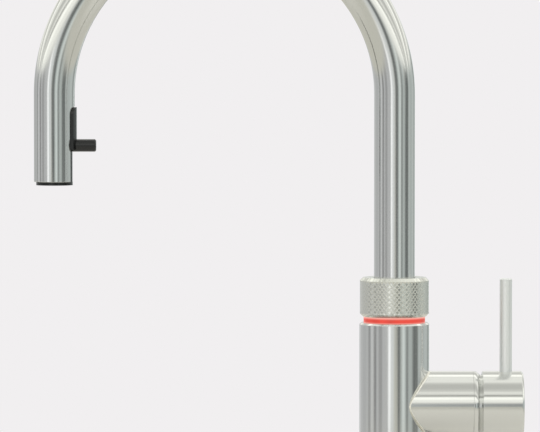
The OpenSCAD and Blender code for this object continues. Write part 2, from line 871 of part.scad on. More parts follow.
module pivot_pin() {
    color("lightgray") on_arm(pivot_x) rotate([90, 0, 0])
        cylinder(d = pin_d, h = 2 * yoke_r - 0.6, center = true);
}

// Sits low when the lever is closed and slides up by twice disc_shift
module moving_disc() {
    color("white") on_arm() difference() {
        translate([disc_shift, 0, 0]) rod_z(disc_r, disc_x, driver_x);
        hull() for (y = [-4, 4]) translate([0, y, disc_x - cut])
            cylinder(r = 1.6, h = disc_t + 2 * cut, $fn = 24);
    }
}

module disc_driver() {
    driver_w = 14;
    driver_h = 10;
    color("beige") on_arm() difference() {
        translate([-driver_h / 2, -driver_w / 2, driver_x]) cube([driver_h, driver_w, driver_t]);
        rod_z(2.45, driver_x + 0.1, driver_x + driver_t + cut);
    }
}

module lever_stem() {
    waist = 1.5;
    color("lightgray") on_arm(pivot_x) difference() {
        union() {
            translate([-stem_w / 2, -stem_w / 2, 2.4 - stem_arm])
                cube([stem_w, stem_w, cap_end - 4 + stem_arm - 2.4]);
            rod_z(waist, -stem_arm, 3 - stem_arm);
            translate([0, 0, -stem_arm]) sphere(r = 2.3);
        }
        rotate([90, 0, 0]) cylinder(r = pin_d / 2 + run_gap, h = 2 * stem_w, center = true);
    }
}

module handle_cap() {
    color("silver") on_arm(pivot_x) difference() {
        rotate_extrude() difference() {
            polygon([
                [0, cap_gap], [arm_r, cap_gap], [arm_r, cap_end - cap_edge],
                [arm_r - cap_edge, cap_end], [0, cap_end]
            ]);
            circle(r = cap_hollow);
        }
        translate([-stem_w / 2 - seat_gap, -stem_w / 2 - seat_gap, 0])
            cube([stem_w + 2 * seat_gap, stem_w + 2 * seat_gap, cap_end - 4 + seat_gap]);
        translate([-rod_root, 0, cap_gap + rod_set]) rotate([0, -90, 0])
            cylinder(r = rod_r + seat_gap, h = arm_d);
        translate([0, 0, grub_x]) rotate([0, 90, 0]) cylinder(r = grub_r + seat_gap, h = arm_d);
    }
}

module lever_rod() {
    edge = 0.6;
    color("silver") translate([rod_x, 0, mixer_z]) rotate_extrude() polygon([
        [0, rod_root], [rod_r, rod_root], [rod_r, rod_h - edge], [rod_r - edge, rod_h], [0, rod_h]
    ]);
}

// Screws in from under the cap and holds it on the stem
module grub_screw() {
    hex_d = 2.2;
    color("dimgray") on_arm(pivot_x) translate([0, 0, grub_x]) rotate([0, 90, 0]) difference() {
        rod_z(grub_r, stem_w / 2, arm_r - 1);
        translate([0, 0, arm_r - 4]) cylinder(d = hex_d, h = 4, $fn = 6);
    }
}

column_body();
base_flange();
base_gasket();
threaded_shank();
rubber_washer();
steel_washer();
clamp_nut();
jack_screws();
inlet_manifold();
cold_tube();
hot_tube();
mixed_tube();
boiling_feed_tube();
hose_lower();
spout_socket();
upper_bush();
lower_bush();
socket_circlip();
return_spring();
light_ring();
sensor_board();
mixer_arm();
cartridge_seat();
cartridge_housing();
fixed_disc();
cartridge_nut();
dome_cover();
spout_tube();
spout_plug();
plug_orings();
thrust_collar();
boiling_riser();
boiling_spigot();
hose_upper();
hose_leg();
nozzle_body();
grip_tongue();
grip_pin();
head_core();
boiling_nozzle();
aerator();
hose_ferrule();
push_sleeve();
control_ring();
snap_ring();
ring_magnets();
yoke();
pivot_pin();
moving_disc();
disc_driver();
lever_stem();
handle_cap();
lever_rod();
grub_screw();
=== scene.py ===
import json
import math

import bmesh
import bpy
from mathutils import Matrix, Vector

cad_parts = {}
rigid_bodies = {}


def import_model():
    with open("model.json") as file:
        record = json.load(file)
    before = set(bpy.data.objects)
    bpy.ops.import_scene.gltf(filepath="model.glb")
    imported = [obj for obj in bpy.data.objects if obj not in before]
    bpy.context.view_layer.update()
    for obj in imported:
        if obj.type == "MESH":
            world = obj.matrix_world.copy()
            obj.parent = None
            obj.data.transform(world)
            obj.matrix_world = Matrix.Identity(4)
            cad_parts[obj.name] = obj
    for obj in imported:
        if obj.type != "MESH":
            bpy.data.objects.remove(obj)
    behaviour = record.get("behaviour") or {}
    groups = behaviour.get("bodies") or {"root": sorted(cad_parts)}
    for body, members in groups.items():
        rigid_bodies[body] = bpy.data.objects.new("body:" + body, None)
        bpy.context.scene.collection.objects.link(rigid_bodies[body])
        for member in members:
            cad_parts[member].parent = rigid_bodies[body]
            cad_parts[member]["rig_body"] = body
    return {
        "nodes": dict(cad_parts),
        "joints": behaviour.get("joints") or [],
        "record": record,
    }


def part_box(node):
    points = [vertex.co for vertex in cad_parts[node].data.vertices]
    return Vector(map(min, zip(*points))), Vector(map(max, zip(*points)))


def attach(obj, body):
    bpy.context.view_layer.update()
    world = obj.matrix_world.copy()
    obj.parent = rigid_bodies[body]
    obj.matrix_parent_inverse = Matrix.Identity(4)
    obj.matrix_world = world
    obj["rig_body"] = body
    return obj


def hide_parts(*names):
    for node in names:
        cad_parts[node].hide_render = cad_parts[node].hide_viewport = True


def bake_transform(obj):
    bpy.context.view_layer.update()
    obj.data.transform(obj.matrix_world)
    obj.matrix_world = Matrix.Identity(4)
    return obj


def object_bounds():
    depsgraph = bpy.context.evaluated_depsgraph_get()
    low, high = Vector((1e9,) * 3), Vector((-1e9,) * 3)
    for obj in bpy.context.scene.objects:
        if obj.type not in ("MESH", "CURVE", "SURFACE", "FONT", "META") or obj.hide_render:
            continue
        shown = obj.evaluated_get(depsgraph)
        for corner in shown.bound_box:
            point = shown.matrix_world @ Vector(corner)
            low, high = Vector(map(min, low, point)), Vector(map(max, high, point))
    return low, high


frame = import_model()
cadLow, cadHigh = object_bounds()
nodes = frame["nodes"]
slotOf = {part["node"]: part["material_slot"] for part in frame["record"]["subparts"]}
mm = 0.001
print("frame loaded with", len(nodes), "nodes")

cameraSetting = {
    "place": (-0.0853, -3.0, 0.319),     # 3 m in front, and higher than the control ring
    "aim": (-0.0853, 0.0, 0.1916),
    "lens": 292,                          # the view is then 370 mm wide at the tap
}


def setCamera(setting):
    data = bpy.data.cameras.new("photoCamera")
    data.sensor_width = 36
    data.lens = setting["lens"]
    data.clip_end = 50
    camera = bpy.data.objects.new("photoCamera", data)
    camera.location = setting["place"]
    gaze = Vector(setting["aim"]) - Vector(setting["place"])
    camera.rotation_euler = gaze.to_track_quat("-Z", "Y").to_euler()
    bpy.context.scene.collection.objects.link(camera)
    bpy.context.scene.camera = camera


setCamera(cameraSetting)
bpy.context.scene.view_settings.view_transform = "Standard"


def colour(hexText):
    # sRGB hex to the linear values that Blender wants
    parts = [int(hexText[i:i + 2], 16) / 255 for i in (1, 3, 5)]
    return [c / 12.92 if c <= 0.04045 else ((c + 0.055) / 1.055) ** 2.4 for c in parts] + [1.0]


def addNode(tree, kind, settings=None, links=None):
    # lower-case names are the node's own properties, the others are sockets, by name or number
    node = tree.nodes.new(kind)
    for name, value in (settings or {}).items():
        if isinstance(name, str) and hasattr(node, name):
            setattr(node, name, value)
        else:
            node.inputs[name].default_value = value
    for name, source in (links or {}).items():
        tree.links.new(source, node.inputs[name])
    return node


def newMaterial(name, sockets):
    # a Principled material; uniform values sit on the shader's own sockets
    material = bpy.data.materials.new(name)
    material.use_nodes = True
    shader = material.node_tree.nodes["Principled BSDF"]
    for socket, value in sockets.items():
        shader.inputs[socket].default_value = value
    return material, material.node_tree, shader


def objectPlace(tree, scale=(1, 1, 1), shift=(0, 0, 0)):
    # Object coordinates, stretched or moved by a Mapping node
    place = addNode(tree, "ShaderNodeTexCoord")
    mapping = addNode(tree, "ShaderNodeMapping", {"Scale": scale, "Location": shift},
                      {"Vector": place.outputs["Object"]})
    return mapping.outputs["Vector"]


noiseSpan = {"From Min": 0.3, "From Max": 0.7}      # nearly all of a noise's values lie between these

steelLook = {
    "colour": "#dedfdd",        # stainless steel, type 304
    "roughness": 0.13,          # belt-polished, so reflections stay crisp along the marks
    "roughnessSpread": 0.05,
    "streakWidth": 2.2 * mm,    # a polishing mark; real ones are ten times finer
    "streakStretch": 0.02,      # marks are fifty times as long as wide
    "streakDepth": 0.004 * mm,
}


def polishedSteel(name, along, look=steelLook):
    # drawn and belt-polished stainless steel: bright, with long faint marks along the piece
    material, tree, shader = newMaterial(name, {
        "Base Color": colour(look["colour"]), "Metallic": 1.0, "Roughness": look["roughness"],
    })
    stretch = look["streakStretch"]
    if along == "tube":
        # the spout's own attributes: across the tube in x and y, along it in z, already stretched
        place = addNode(tree, "ShaderNodeAttribute", {"attribute_name": "streak"}).outputs["Vector"]
        turn = addNode(tree, "ShaderNodeAttribute", {"attribute_name": "turn"}).outputs["Fac"]
    else:
        place = objectPlace(tree, [stretch if axis == along else 1 for axis in "xyz"])
    marks = addNode(tree, "ShaderNodeTexNoise",
                    {"Scale": 1 / look["streakWidth"], "Detail": 3, "Roughness": 0.6}, {"Vector": place})
    spread = look["roughnessSpread"]
    rough = addNode(tree, "ShaderNodeMapRange", {
        **noiseSpan, "To Min": look["roughness"] - spread, "To Max": look["roughness"] + spread},
        {"Value": marks.outputs["Fac"]})
    bump = addNode(tree, "ShaderNodeBump", {"Strength": 1, "Distance": look["streakDepth"]},
                   {"Height": marks.outputs["Fac"]})
    normal = bump.outputs["Normal"]
    if along == "tube":
        normal = addNode(tree, "ShaderNodeVectorRotate", {"rotation_type": "Z_AXIS"},
                         {"Vector": normal, "Angle": turn}).outputs["Vector"]
    tree.links.new(rough.outputs["Result"], shader.inputs["Roughness"])
    tree.links.new(normal, shader.inputs["Normal"])
    return material


def applyPattern(tree, shader, level, tones, depth):
    # where a pattern's level is high, the surface has the second colour and stands higher
    # sockets 6 and 7 and output 2 of a Mix node are its colours
    tint = addNode(tree, "ShaderNodeMix",
                   {"data_type": "RGBA", 6: colour(tones[0]), 7: colour(tones[1])}, {0: level})
    bump = addNode(tree, "ShaderNodeBump", {"Strength": 1, "Distance": depth}, {"Height": level})
    tree.links.new(tint.outputs[2], shader.inputs["Base Color"])
    tree.links.new(bump.outputs["Normal"], shader.inputs["Normal"])


def grained(name, sockets, tones, grain, depth):
    # a fine random grain between two colours; grain and depth are real sizes
    material, tree, shader = newMaterial(name, sockets)
    noise = addNode(tree, "ShaderNodeTexNoise", {"Scale": 1 / grain, "Detail": 4},
                    {"Vector": objectPlace(tree)})
    applyPattern(tree, shader, noise.outputs["Fac"], tones, depth)
    return material


waveUnit = 0.314                # metres between the rings of a wave texture of scale 1


def turnedMarks(name, sockets, tones, pitch, depth):
    # lathe-turned metal: rings of tool marks, here along z
    material, tree, shader = newMaterial(name, sockets)
    rings = addNode(tree, "ShaderNodeTexWave",
                    {"bands_direction": "Z", "Scale": waveUnit / pitch, "Distortion": 0.6, "Detail": 2},
                    {"Vector": objectPlace(tree)})
    applyPattern(tree, shader, rings.outputs["Fac"], tones, depth)
    return material


hoseLook = {
    "strands": 24,              # braid strands round the hose
    "lead": 9 * mm,             # height that a strand gains in one eighth of a turn
    "depth": 0.25 * mm,
    "tones": ("#3a3c3e", "#8d9092"),
}


def braidedHose(name, look, axisX):
    # grey polyester braid over rubber: two sets of strands that cross, dull with a slight sheen
    material, tree, shader = newMaterial(name, {"Roughness": 0.5, "Specular IOR Level": 0.4})
    place = addNode(tree, "ShaderNodeSeparateXYZ", {}, {"Vector": objectPlace(tree, shift=(-axisX, 0, 0))})
    turn = addNode(tree, "ShaderNodeMath", {"operation": "ARCTAN2"},
                   {0: place.outputs["Y"], 1: place.outputs["X"]})
    around = addNode(tree, "ShaderNodeMath", {"operation": "MULTIPLY", 1: look["strands"]},
                     {0: turn.outputs[0]})
    climb = addNode(tree, "ShaderNodeMath",
                    {"operation": "MULTIPLY", 1: look["strands"] * math.pi / 4 / look["lead"]},
                    {0: place.outputs["Z"]})
    waves = []
    for way in ("ADD", "SUBTRACT"):
        phase = addNode(tree, "ShaderNodeMath", {"operation": way},
                        {0: around.outputs[0], 1: climb.outputs[0]})
        waves.append(addNode(tree, "ShaderNodeMath", {"operation": "SINE"}, {0: phase.outputs[0]}))
    braid = addNode(tree, "ShaderNodeMath", {"operation": "MAXIMUM"},
                    {0: waves[0].outputs[0], 1: waves[1].outputs[0]})
    level = addNode(tree, "ShaderNodeMapRange", {"From Min": -0.5, "From Max": 1.0},
                    {"Value": braid.outputs[0]})
    applyPattern(tree, shader, level.outputs["Result"], look["tones"], look["depth"])
    return material


lightLook = {
    "plastic": "#8c1f17",       # the unlit lens
    "roughness": 0.35,
    "deep": "#b23a2e",          # the glow between two lamps and over one
    "bright": "#dc4a3c",
    "edge": "#e8baac",          # painted highlight: a paler glow at the two rims, standing in for the light that the steel edges beside them mirror
    "coreZ": 1.75 * mm,         # middle and height of the deep red core, over the column's edge
    "coreHigh": 1.6 * mm,
    "fade": 1.7 * mm,
    "cloud": 14 * mm,
    "near": 6 * mm,             # the glow is aimed forward: the steel right beside it mirrors it whole,
    "far": 30 * mm,             # and what stands further off little of it
    "mirrored": 0.2,
}


def litPlastic(name, look, low):
    # satin red polycarbonate with lamps behind it: an uneven glow, with a painted highlight making it paler
    # at the two rims that show
    material, tree, shader = newMaterial(name, {
        "Base Color": colour(look["plastic"]), "Roughness": look["roughness"]})
    place = objectPlace(tree)
    cloud = addNode(tree, "ShaderNodeTexNoise", {"Scale": 1 / look["cloud"], "Detail": 1},
                    {"Vector": place})
    patches = addNode(tree, "ShaderNodeMapRange", noiseSpan, {"Value": cloud.outputs["Fac"]})
    glow = addNode(tree, "ShaderNodeMix",
                   {"data_type": "RGBA", 6: colour(look["deep"]), 7: colour(look["bright"])},
                   {0: patches.outputs["Result"]})
    height = addNode(tree, "ShaderNodeSeparateXYZ", {}, {"Vector": place})
    away = addNode(tree, "ShaderNodeMath", {"operation": "SUBTRACT", 1: low + look["coreZ"]},
                   {0: height.outputs["Z"]})
    size = addNode(tree, "ShaderNodeMath", {"operation": "ABSOLUTE"}, {0: away.outputs[0]})
    half = look["coreHigh"] / 2
    # where the painted highlight at the two rims takes over from the glow
    rim = addNode(tree, "ShaderNodeMapRange", {"From Min": half, "From Max": half + look["fade"]},
                  {"Value": size.outputs[0]})
    both = addNode(tree, "ShaderNodeMix", {"data_type": "RGBA", 7: colour(look["edge"])},
                   {0: rim.outputs["Result"], 6: glow.outputs[2]})
    path = addNode(tree, "ShaderNodeLightPath")
    dim = addNode(tree, "ShaderNodeMapRange", {
        "From Min": look["near"], "From Max": look["far"], "To Min": 1, "To Max": look["mirrored"]},
        {"Value": path.outputs["Ray Length"]})
    power = addNode(tree, "ShaderNodeMix", {"data_type": "FLOAT", 2: 1},
                    {0: path.outputs["Is Glossy Ray"], 3: dim.outputs["Result"]})
    tree.links.new(both.outputs[2], shader.inputs["Emission Color"])
    tree.links.new(power.outputs[0], shader.inputs["Emission Strength"])
    return material


print("material helpers ready")

studio = {
    "backdrop": "#f1eff0",      # what the camera sees behind the tap
    "fill": 0.65,               # even light on matt surfaces
    "leftTint": "#fdfeff",
    "rightTint": "#f1f9f6",
    "front": 0.58,              # what the steel mirrors between the cards
    "behind": 0.86,
    "behindFrom": 138,          # degrees from the front between which the one turns into the other
    "behindTo": 172,
    "ceiling": 0.76,
    "ceilingRise": 0.08,        # how much brighter it gets overhead, between these two angles
    "ceilingFrom": 60,
    "ceilingTo": 150,
    "floor": 0.66,
    "floorTint": "#fffdf0",
    "panelTint": "#fffff8",     # warm paper over the panels
    "cardFoot": -8,             # the cards end between floor and panels, in degrees of elevation
    "frontFoot": -3,            # right in front, where the mixer arm mirrors them, they end higher
    "frontAt": 3,
    "frontHalf": 4,             # half width of that stretch, and where it has run out
    "frontOut": 10,
    "cardTop": 7,
    "edge": 2.5,                # softness of those ends
    "tintHalf": 0.3,            # the left and right tints blend over this share to each side
}

# upright cards round the tap: middle and width in degrees from the front, brightness, soft edge
cards = [
    {"at": -118, "wide": 20, "level": 0.54, "soft": 8},
    {"at": -92, "wide": 9, "level": 0.36, "soft": 5},
    {"at": -80, "wide": 9, "level": 0.72, "soft": 5},
    {"at": -68, "wide": 9, "level": 0.30, "soft": 5},
    {"at": -48, "wide": 12, "level": 0.40, "soft": 5},
    {"at": -9, "wide": 16, "level": 0.85, "soft": 8},
    {"at": -17.5, "wide": 8, "level": 1.30, "soft": 4},
    {"at": 5, "wide": 5, "level": 0.38, "soft": 4},
    {"at": 11.5, "wide": 13, "level": 0.18, "soft": 7},
    {"at": 29, "wide": 9, "level": 0.90, "soft": 6},
    {"at": 41.5, "wide": 7, "level": 0.30, "soft": 5},
    {"at": 72, "wide": 22, "level": 0.20, "soft": 10},
    {"at": 89, "wide": 9, "level": 0.66, "soft": 4},
    {"at": 125, "wide": 22, "level": 0.64, "soft": 8},
    {"at": 147, "wide": 20, "level": 0.42, "soft": 5},
    {"at": 165, "wide": 7, "level": 1.10, "soft": 5},
    {"at": 174, "wide": 8, "level": 0.50, "soft": 5},
    {"at": -167, "wide": 10, "level": 0.55, "soft": 6},
]

# long panels hung parallel to the mixer arm: lower and upper edge as angles over the front horizon
panels = [
    {"low": 11, "high": 31, "level": 1.12, "soft": 5},
    {"low": 21.5, "high": 29, "level": 1.38, "soft": 3},
    {"low": 32.5, "high": 37, "level": 0.42, "soft": 2},
    {"low": 40, "high": 50, "level": 1.0, "soft": 4},
    {"low": 58, "high": 79, "level": 0.64, "soft": 8},
    {"low": 86, "high": 115, "level": 1.04, "soft": 8},
    {"low": 117, "high": 129, "level": 1.45, "soft": 3},
    {"low": 137, "high": 150, "level": 0.70, "soft": 5},
    {"low": 158, "high": 165, "level": 1.20, "soft": 4},
]


def softBand(tree, value, middle, half, soft, level, base):
    # lays a band of another brightness over what lies under it; a Mix node's numbers are 2 and 3
    away = addNode(tree, "ShaderNodeMath", {"operation": "SUBTRACT", 1: math.radians(middle)}, {0: value})
    size = addNode(tree, "ShaderNodeMath", {"operation": "ABSOLUTE"}, {0: away.outputs[0]})
    mask = addNode(tree, "ShaderNodeMapRange", {
        "interpolation_type": "SMOOTHSTEP", "To Min": 1, "To Max": 0,
        "From Min": math.radians(half - soft / 2), "From Max": math.radians(half + soft / 2),
    }, {"Value": size.outputs[0]})
    tone = addNode(tree, "ShaderNodeMix", {"data_type": "FLOAT", 3: level},
                   {0: mask.outputs["Result"], 2: base})
    return tone.outputs[0]


def buildStudio(setting):
    world = bpy.data.worlds.new("studio")
    bpy.context.scene.world = world
    world.use_nodes = True
    tree = world.node_tree
    tree.nodes.clear()
    gaze = addNode(tree, "ShaderNodeTexCoord")
    axes = addNode(tree, "ShaderNodeSeparateXYZ", {}, {"Vector": gaze.outputs["Generated"]})
    ahead = addNode(tree, "ShaderNodeMath", {"operation": "MULTIPLY", 1: -1}, {0: axes.outputs["Y"]})
    azimuth = addNode(tree, "ShaderNodeMath", {"operation": "ARCTAN2"},
                      {0: axes.outputs["X"], 1: ahead.outputs[0]})
    over = addNode(tree, "ShaderNodeMath", {"operation": "ARCTAN2"},
                   {0: axes.outputs["Z"], 1: ahead.outputs[0]})
    rise = addNode(tree, "ShaderNodeMath", {"operation": "ARCSINE"}, {0: axes.outputs["Z"]})
    turn = addNode(tree, "ShaderNodeMath", {"operation": "ABSOLUTE"}, {0: azimuth.outputs[0]})

    base = addNode(tree, "ShaderNodeMapRange", {
        "interpolation_type": "SMOOTHSTEP", "From Min": math.radians(setting["behindFrom"]),
        "From Max": math.radians(setting["behindTo"]), "To Min": setting["front"],
        "To Max": setting["behind"]}, {"Value": turn.outputs[0]})
    low = base.outputs["Result"]
    for card in cards:
        half = card["wide"] / 2
        low = softBand(tree, azimuth.outputs[0], card["at"], half, card["soft"], card["level"], low)
    ceiling = addNode(tree, "ShaderNodeMapRange", {
        "From Min": math.radians(setting["ceilingFrom"]), "From Max": math.radians(setting["ceilingTo"]),
        "To Min": setting["ceiling"], "To Max": setting["ceiling"] + setting["ceilingRise"]},
        {"Value": over.outputs[0]})
    high = ceiling.outputs["Result"]
    for panel in panels:
        middle = (panel["low"] + panel["high"]) / 2
        half = (panel["high"] - panel["low"]) / 2
        high = softBand(tree, over.outputs[0], middle, half, panel["soft"], panel["level"], high)
    aside = addNode(tree, "ShaderNodeMath", {"operation": "SUBTRACT", 1: math.radians(setting["frontAt"])},
                    {0: azimuth.outputs[0]})
    wide = addNode(tree, "ShaderNodeMath", {"operation": "ABSOLUTE"}, {0: aside.outputs[0]})
    foot = addNode(tree, "ShaderNodeMapRange", {
        "From Min": math.radians(setting["frontHalf"]), "From Max": math.radians(setting["frontOut"]),
        "To Min": math.radians(setting["frontFoot"]), "To Max": math.radians(setting["cardFoot"])},
        {"Value": wide.outputs[0]})
    soft = math.radians(setting["edge"])
    overFoot = addNode(tree, "ShaderNodeMath", {"operation": "SUBTRACT"},
                       {0: rise.outputs[0], 1: foot.outputs["Result"]})
    aboveFloor = addNode(tree, "ShaderNodeMapRange", {
        "interpolation_type": "SMOOTHSTEP", "From Min": -soft, "From Max": soft},
        {"Value": overFoot.outputs[0]})
    top = math.radians(setting["cardTop"])
    aboveCards = addNode(tree, "ShaderNodeMapRange", {
        "interpolation_type": "SMOOTHSTEP", "From Min": top - soft, "From Max": top + soft},
        {"Value": rise.outputs[0]})
    walls = addNode(tree, "ShaderNodeMix", {"data_type": "FLOAT"},
                    {0: aboveCards.outputs["Result"], 2: low, 3: high})
    tone = addNode(tree, "ShaderNodeMix", {"data_type": "FLOAT", 2: setting["floor"]},
                   {0: aboveFloor.outputs["Result"], 3: walls.outputs[0]}).outputs[0]

    side = addNode(tree, "ShaderNodeMapRange", {
        "From Min": -setting["tintHalf"], "From Max": setting["tintHalf"]}, {"Value": axes.outputs["X"]})
    tint = addNode(tree, "ShaderNodeMix", {
        "data_type": "RGBA", 6: colour(setting["leftTint"]), 7: colour(setting["rightTint"])},
        {0: side.outputs["Result"]})
    upper = addNode(tree, "ShaderNodeMix", {"data_type": "RGBA", 7: colour(setting["panelTint"])},
                    {0: aboveCards.outputs["Result"], 6: tint.outputs[2]})
    warm = addNode(tree, "ShaderNodeMix", {"data_type": "RGBA", 6: colour(setting["floorTint"])},
                   {0: aboveFloor.outputs["Result"], 7: upper.outputs[2]})
    mirrored = addNode(tree, "ShaderNodeBackground", {}, {"Color": warm.outputs[2], "Strength": tone})
    even = addNode(tree, "ShaderNodeBackground", {"Color": (1, 1, 1, 1), "Strength": setting["fill"]})
    seen = addNode(tree, "ShaderNodeBackground", {"Color": colour(setting["backdrop"]), "Strength": 1})
    path = addNode(tree, "ShaderNodeLightPath")
    shiny = addNode(tree, "ShaderNodeMath", {"operation": "MAXIMUM"},
                    {0: path.outputs["Is Glossy Ray"], 1: path.outputs["Is Transmission Ray"]})
    unseen = addNode(tree, "ShaderNodeMixShader", {},
                     {0: shiny.outputs[0], 1: even.outputs[0], 2: mirrored.outputs[0]})
    whole = addNode(tree, "ShaderNodeMixShader", {},
                    {0: path.outputs["Is Camera Ray"], 1: unseen.outputs[0], 2: seen.outputs[0]})
    addNode(tree, "ShaderNodeOutputWorld", {}, {"Surface": whole.outputs[0]})


lampTarget = Vector((-0.1, 0, 0.15))        # about the middle of the tap
lamps = [
    {"name": "keyLamp", "place": (-0.9, -1.3, 1.5), "size": 1.4, "power": 16},
    {"name": "fillLamp", "place": (1.1, -0.9, 1.2), "size": 1.6, "power": 10},
    {"name": "backLamp", "place": (0.2, 1.2, 1.6), "size": 1.4, "power": 10},
]


def hangLamps(target):
    # soft boxes for the matt pieces and the floor's shadow; the steel mirrors the studio instead
    for lamp in lamps:
        data = bpy.data.lights.new(lamp["name"], "AREA")
        data.shape = "SQUARE"
        data.size = lamp["size"]
        data.energy = lamp["power"]
        light = bpy.data.objects.new(lamp["name"], data)
        light.location = lamp["place"]
        gaze = target - Vector(lamp["place"])
        light.rotation_euler = gaze.to_track_quat("-Z", "Y").to_euler()
        light.visible_glossy = False
        bpy.context.scene.collection.objects.link(light)


floorSetting = {
    "radius": 1.1,
    "steps": 96,
    "fadeFrom": 0.35,           # beyond this it turns into the backdrop
    "fadeTo": 1.0,
    "colour": "#d5d3ca",        # painted board
    "gap": 0.2 * mm,
}


def layFloor(setting):
    bm = bmesh.new()
    bmesh.ops.create_circle(bm, cap_ends=True, segments=setting["steps"],
                            radius=setting["radius"])
    bmesh.ops.translate(bm, verts=bm.verts, vec=(0, 0, cadLow[2] - setting["gap"]))
    mesh = bpy.data.meshes.new("studioFloor")
    bm.to_mesh(mesh)
    bm.free()
    floor = bpy.data.objects.new("studioFloor", mesh)
    bpy.context.scene.collection.objects.link(floor)
    material, tree, shader = newMaterial("paleFloor", {
        "Base Color": colour(setting["colour"]), "Roughness": 0.9, "Specular IOR Level": 0.1})
    place = addNode(tree, "ShaderNodeSeparateXYZ", {}, {"Vector": objectPlace(tree)})
    flat = addNode(tree, "ShaderNodeCombineXYZ", {}, {"X": place.outputs["X"], "Y": place.outputs["Y"]})
    reach = addNode(tree, "ShaderNodeVectorMath", {"operation": "LENGTH"}, {0: flat.outputs[0]})
    fade = addNode(tree, "ShaderNodeMapRange", {
        "interpolation_type": "SMOOTHSTEP", "From Min": setting["fadeFrom"], "From Max": setting["fadeTo"]},
        {"Value": reach.outputs["Value"]})
    path = addNode(tree, "ShaderNodeLightPath")
    # to the camera the far floor is the backdrop, and to the steel it is the warm floor
    tone = addNode(tree, "ShaderNodeMix", {
        "data_type": "RGBA", 6: [studio["floor"] * c for c in colour(studio["floorTint"])[:3]] + [1],
        7: colour(studio["backdrop"])}, {0: path.outputs["Is Camera Ray"]})
    far = addNode(tree, "ShaderNodeEmission", {}, {"Color": tone.outputs[2]})
    mixed = addNode(tree, "ShaderNodeMixShader", {},
                    {0: fade.outputs["Result"], 1: shader.outputs[0], 2: far.outputs[0]})
    clear = addNode(tree, "ShaderNodeBsdfTransparent")
    under = addNode(tree, "ShaderNodeNewGeometry")
    both = addNode(tree, "ShaderNodeMixShader", {},
                   {0: under.outputs["Backfacing"], 1: mixed.outputs[0], 2: clear.outputs[0]})
    output = tree.nodes["Material Output"]
    tree.links.new(both.outputs[0], output.inputs["Surface"])
    mesh.materials.append(material)


buildStudio(studio)
hangLamps(lampTarget)
layFloor(floorSetting)
print("studio built")


mergeGap = 0.002 * mm                     # points nearer than this become one
sharpTurn = 40                            # degrees; an edge that turns by more is a sharp one


def turned(outline, steps):
    # spins (radius, height) points round z; an outline that starts on the axis also ends there
    bm = bmesh.new()
    corners = [bm.verts.new((r, 0, z)) for r, z in outline]
    pairs = list(zip(corners, corners[1:]))
    if outline[0][0] > 0:
        pairs.append((corners[-1], corners[0]))
    edges = [bm.edges.new(pair) for pair in pairs]
    bmesh.ops.spin(bm, geom=corners + edges, cent=(0, 0, 0), axis=(0, 0, 1),
                   angle=2 * math.pi, steps=steps, use_merge=True)
    bmesh.ops.remove_doubles(bm, verts=bm.verts, dist=mergeGap)
    bmesh.ops.dissolve_degenerate(bm, edges=bm.edges, dist=mergeGap)
    bmesh.ops.recalc_face_normals(bm, faces=bm.faces)
    return bm


def arc(centre, radius, start, end, count):
    # points of an arc in an outline, angles in degrees from the radius towards the height
    return [(centre[0] + radius * math.cos(math.radians(start + (end - start) * i / count)),
             centre[1] + radius * math.sin(math.radians(start + (end - start) * i / count)))
            for i in range(count + 1)]


def bevelBy(bm, geom, offset, segments, affect="EDGES"):
    bmesh.ops.bevel(bm, geom=geom, offset=offset, segments=segments, profile=0.5, affect=affect,
                    clamp_overlap=True, material=-1)


def soften(bm, width, segments=2, sharp=25):
    # rounds each edge that turns by more than so many degrees
    edges = [e for e in bm.edges if e.is_manifold and e.calc_face_angle(0) > math.radians(sharp)]
    bevelBy(bm, edges, width, segments)
    return bm


def vertsOf(geom):
    return [g for g in geom if isinstance(g, bmesh.types.BMVert)]


def edgesOf(geom):
    return [g for g in geom if isinstance(g, bmesh.types.BMEdge)]


def drawIn(place, share):
    # moves a point towards the z axis, to a share of its distance
    place.x *= share
    place.y *= share


def looseObject(name, bm):
    mesh = bpy.data.meshes.new(name)
    bm.to_mesh(mesh)
    bm.free()
    piece = bpy.data.objects.new(name, mesh)
    bpy.context.scene.collection.objects.link(piece)
    return piece


def combined(bm, other, operation):
    # one solid cut by, joined to or kept inside another; both are used up
    pair = [looseObject("blank", bm), looseObject("cutter", other)]
    cut = pair[0].modifiers.new("cut", "BOOLEAN")
    cut.operation = operation
    cut.solver = "EXACT"
    cut.object = pair[1]
    result = bmesh.new()
    result.from_object(pair[0], bpy.context.evaluated_depsgraph_get())
    for edge in result.edges:
        # or the wall of a hole bends the shade of the face around it
        edge.smooth = edge.calc_face_angle(0) < math.radians(sharpTurn)
    for piece in pair:
        bpy.data.meshes.remove(piece.data)
    return result


def finishPiece(piece, material, stands):
    piece.data.materials.append(material)
    weighted = piece.modifiers.new("weightedNormals", "WEIGHTED_NORMAL")
    weighted.keep_sharp = True
    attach(piece, nodes[stands[0]]["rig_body"])
    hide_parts(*stands)
    return piece


def makePiece(name, bm, material, *stands):
    # a finished piece that stands for CAD nodes and rides on their body
    for face in bm.faces:
        face.smooth = True
    return finishPiece(looseObject(name, bm), material, stands)


def onArm(x=0.0):
    # what is drawn along z lies along the mixer arm, x away from the column's axis
    return Matrix.Translation((x, 0, armZ)) @ Matrix.Rotation(math.pi / 2, 4, "Y")


def laid(bm, matrix):
    bmesh.ops.transform(bm, matrix=matrix, verts=bm.verts)
    return bm


def onLeg(bm):
    bmesh.ops.translate(bm, verts=bm.verts, vec=(legX, 0, 0))
    return bm


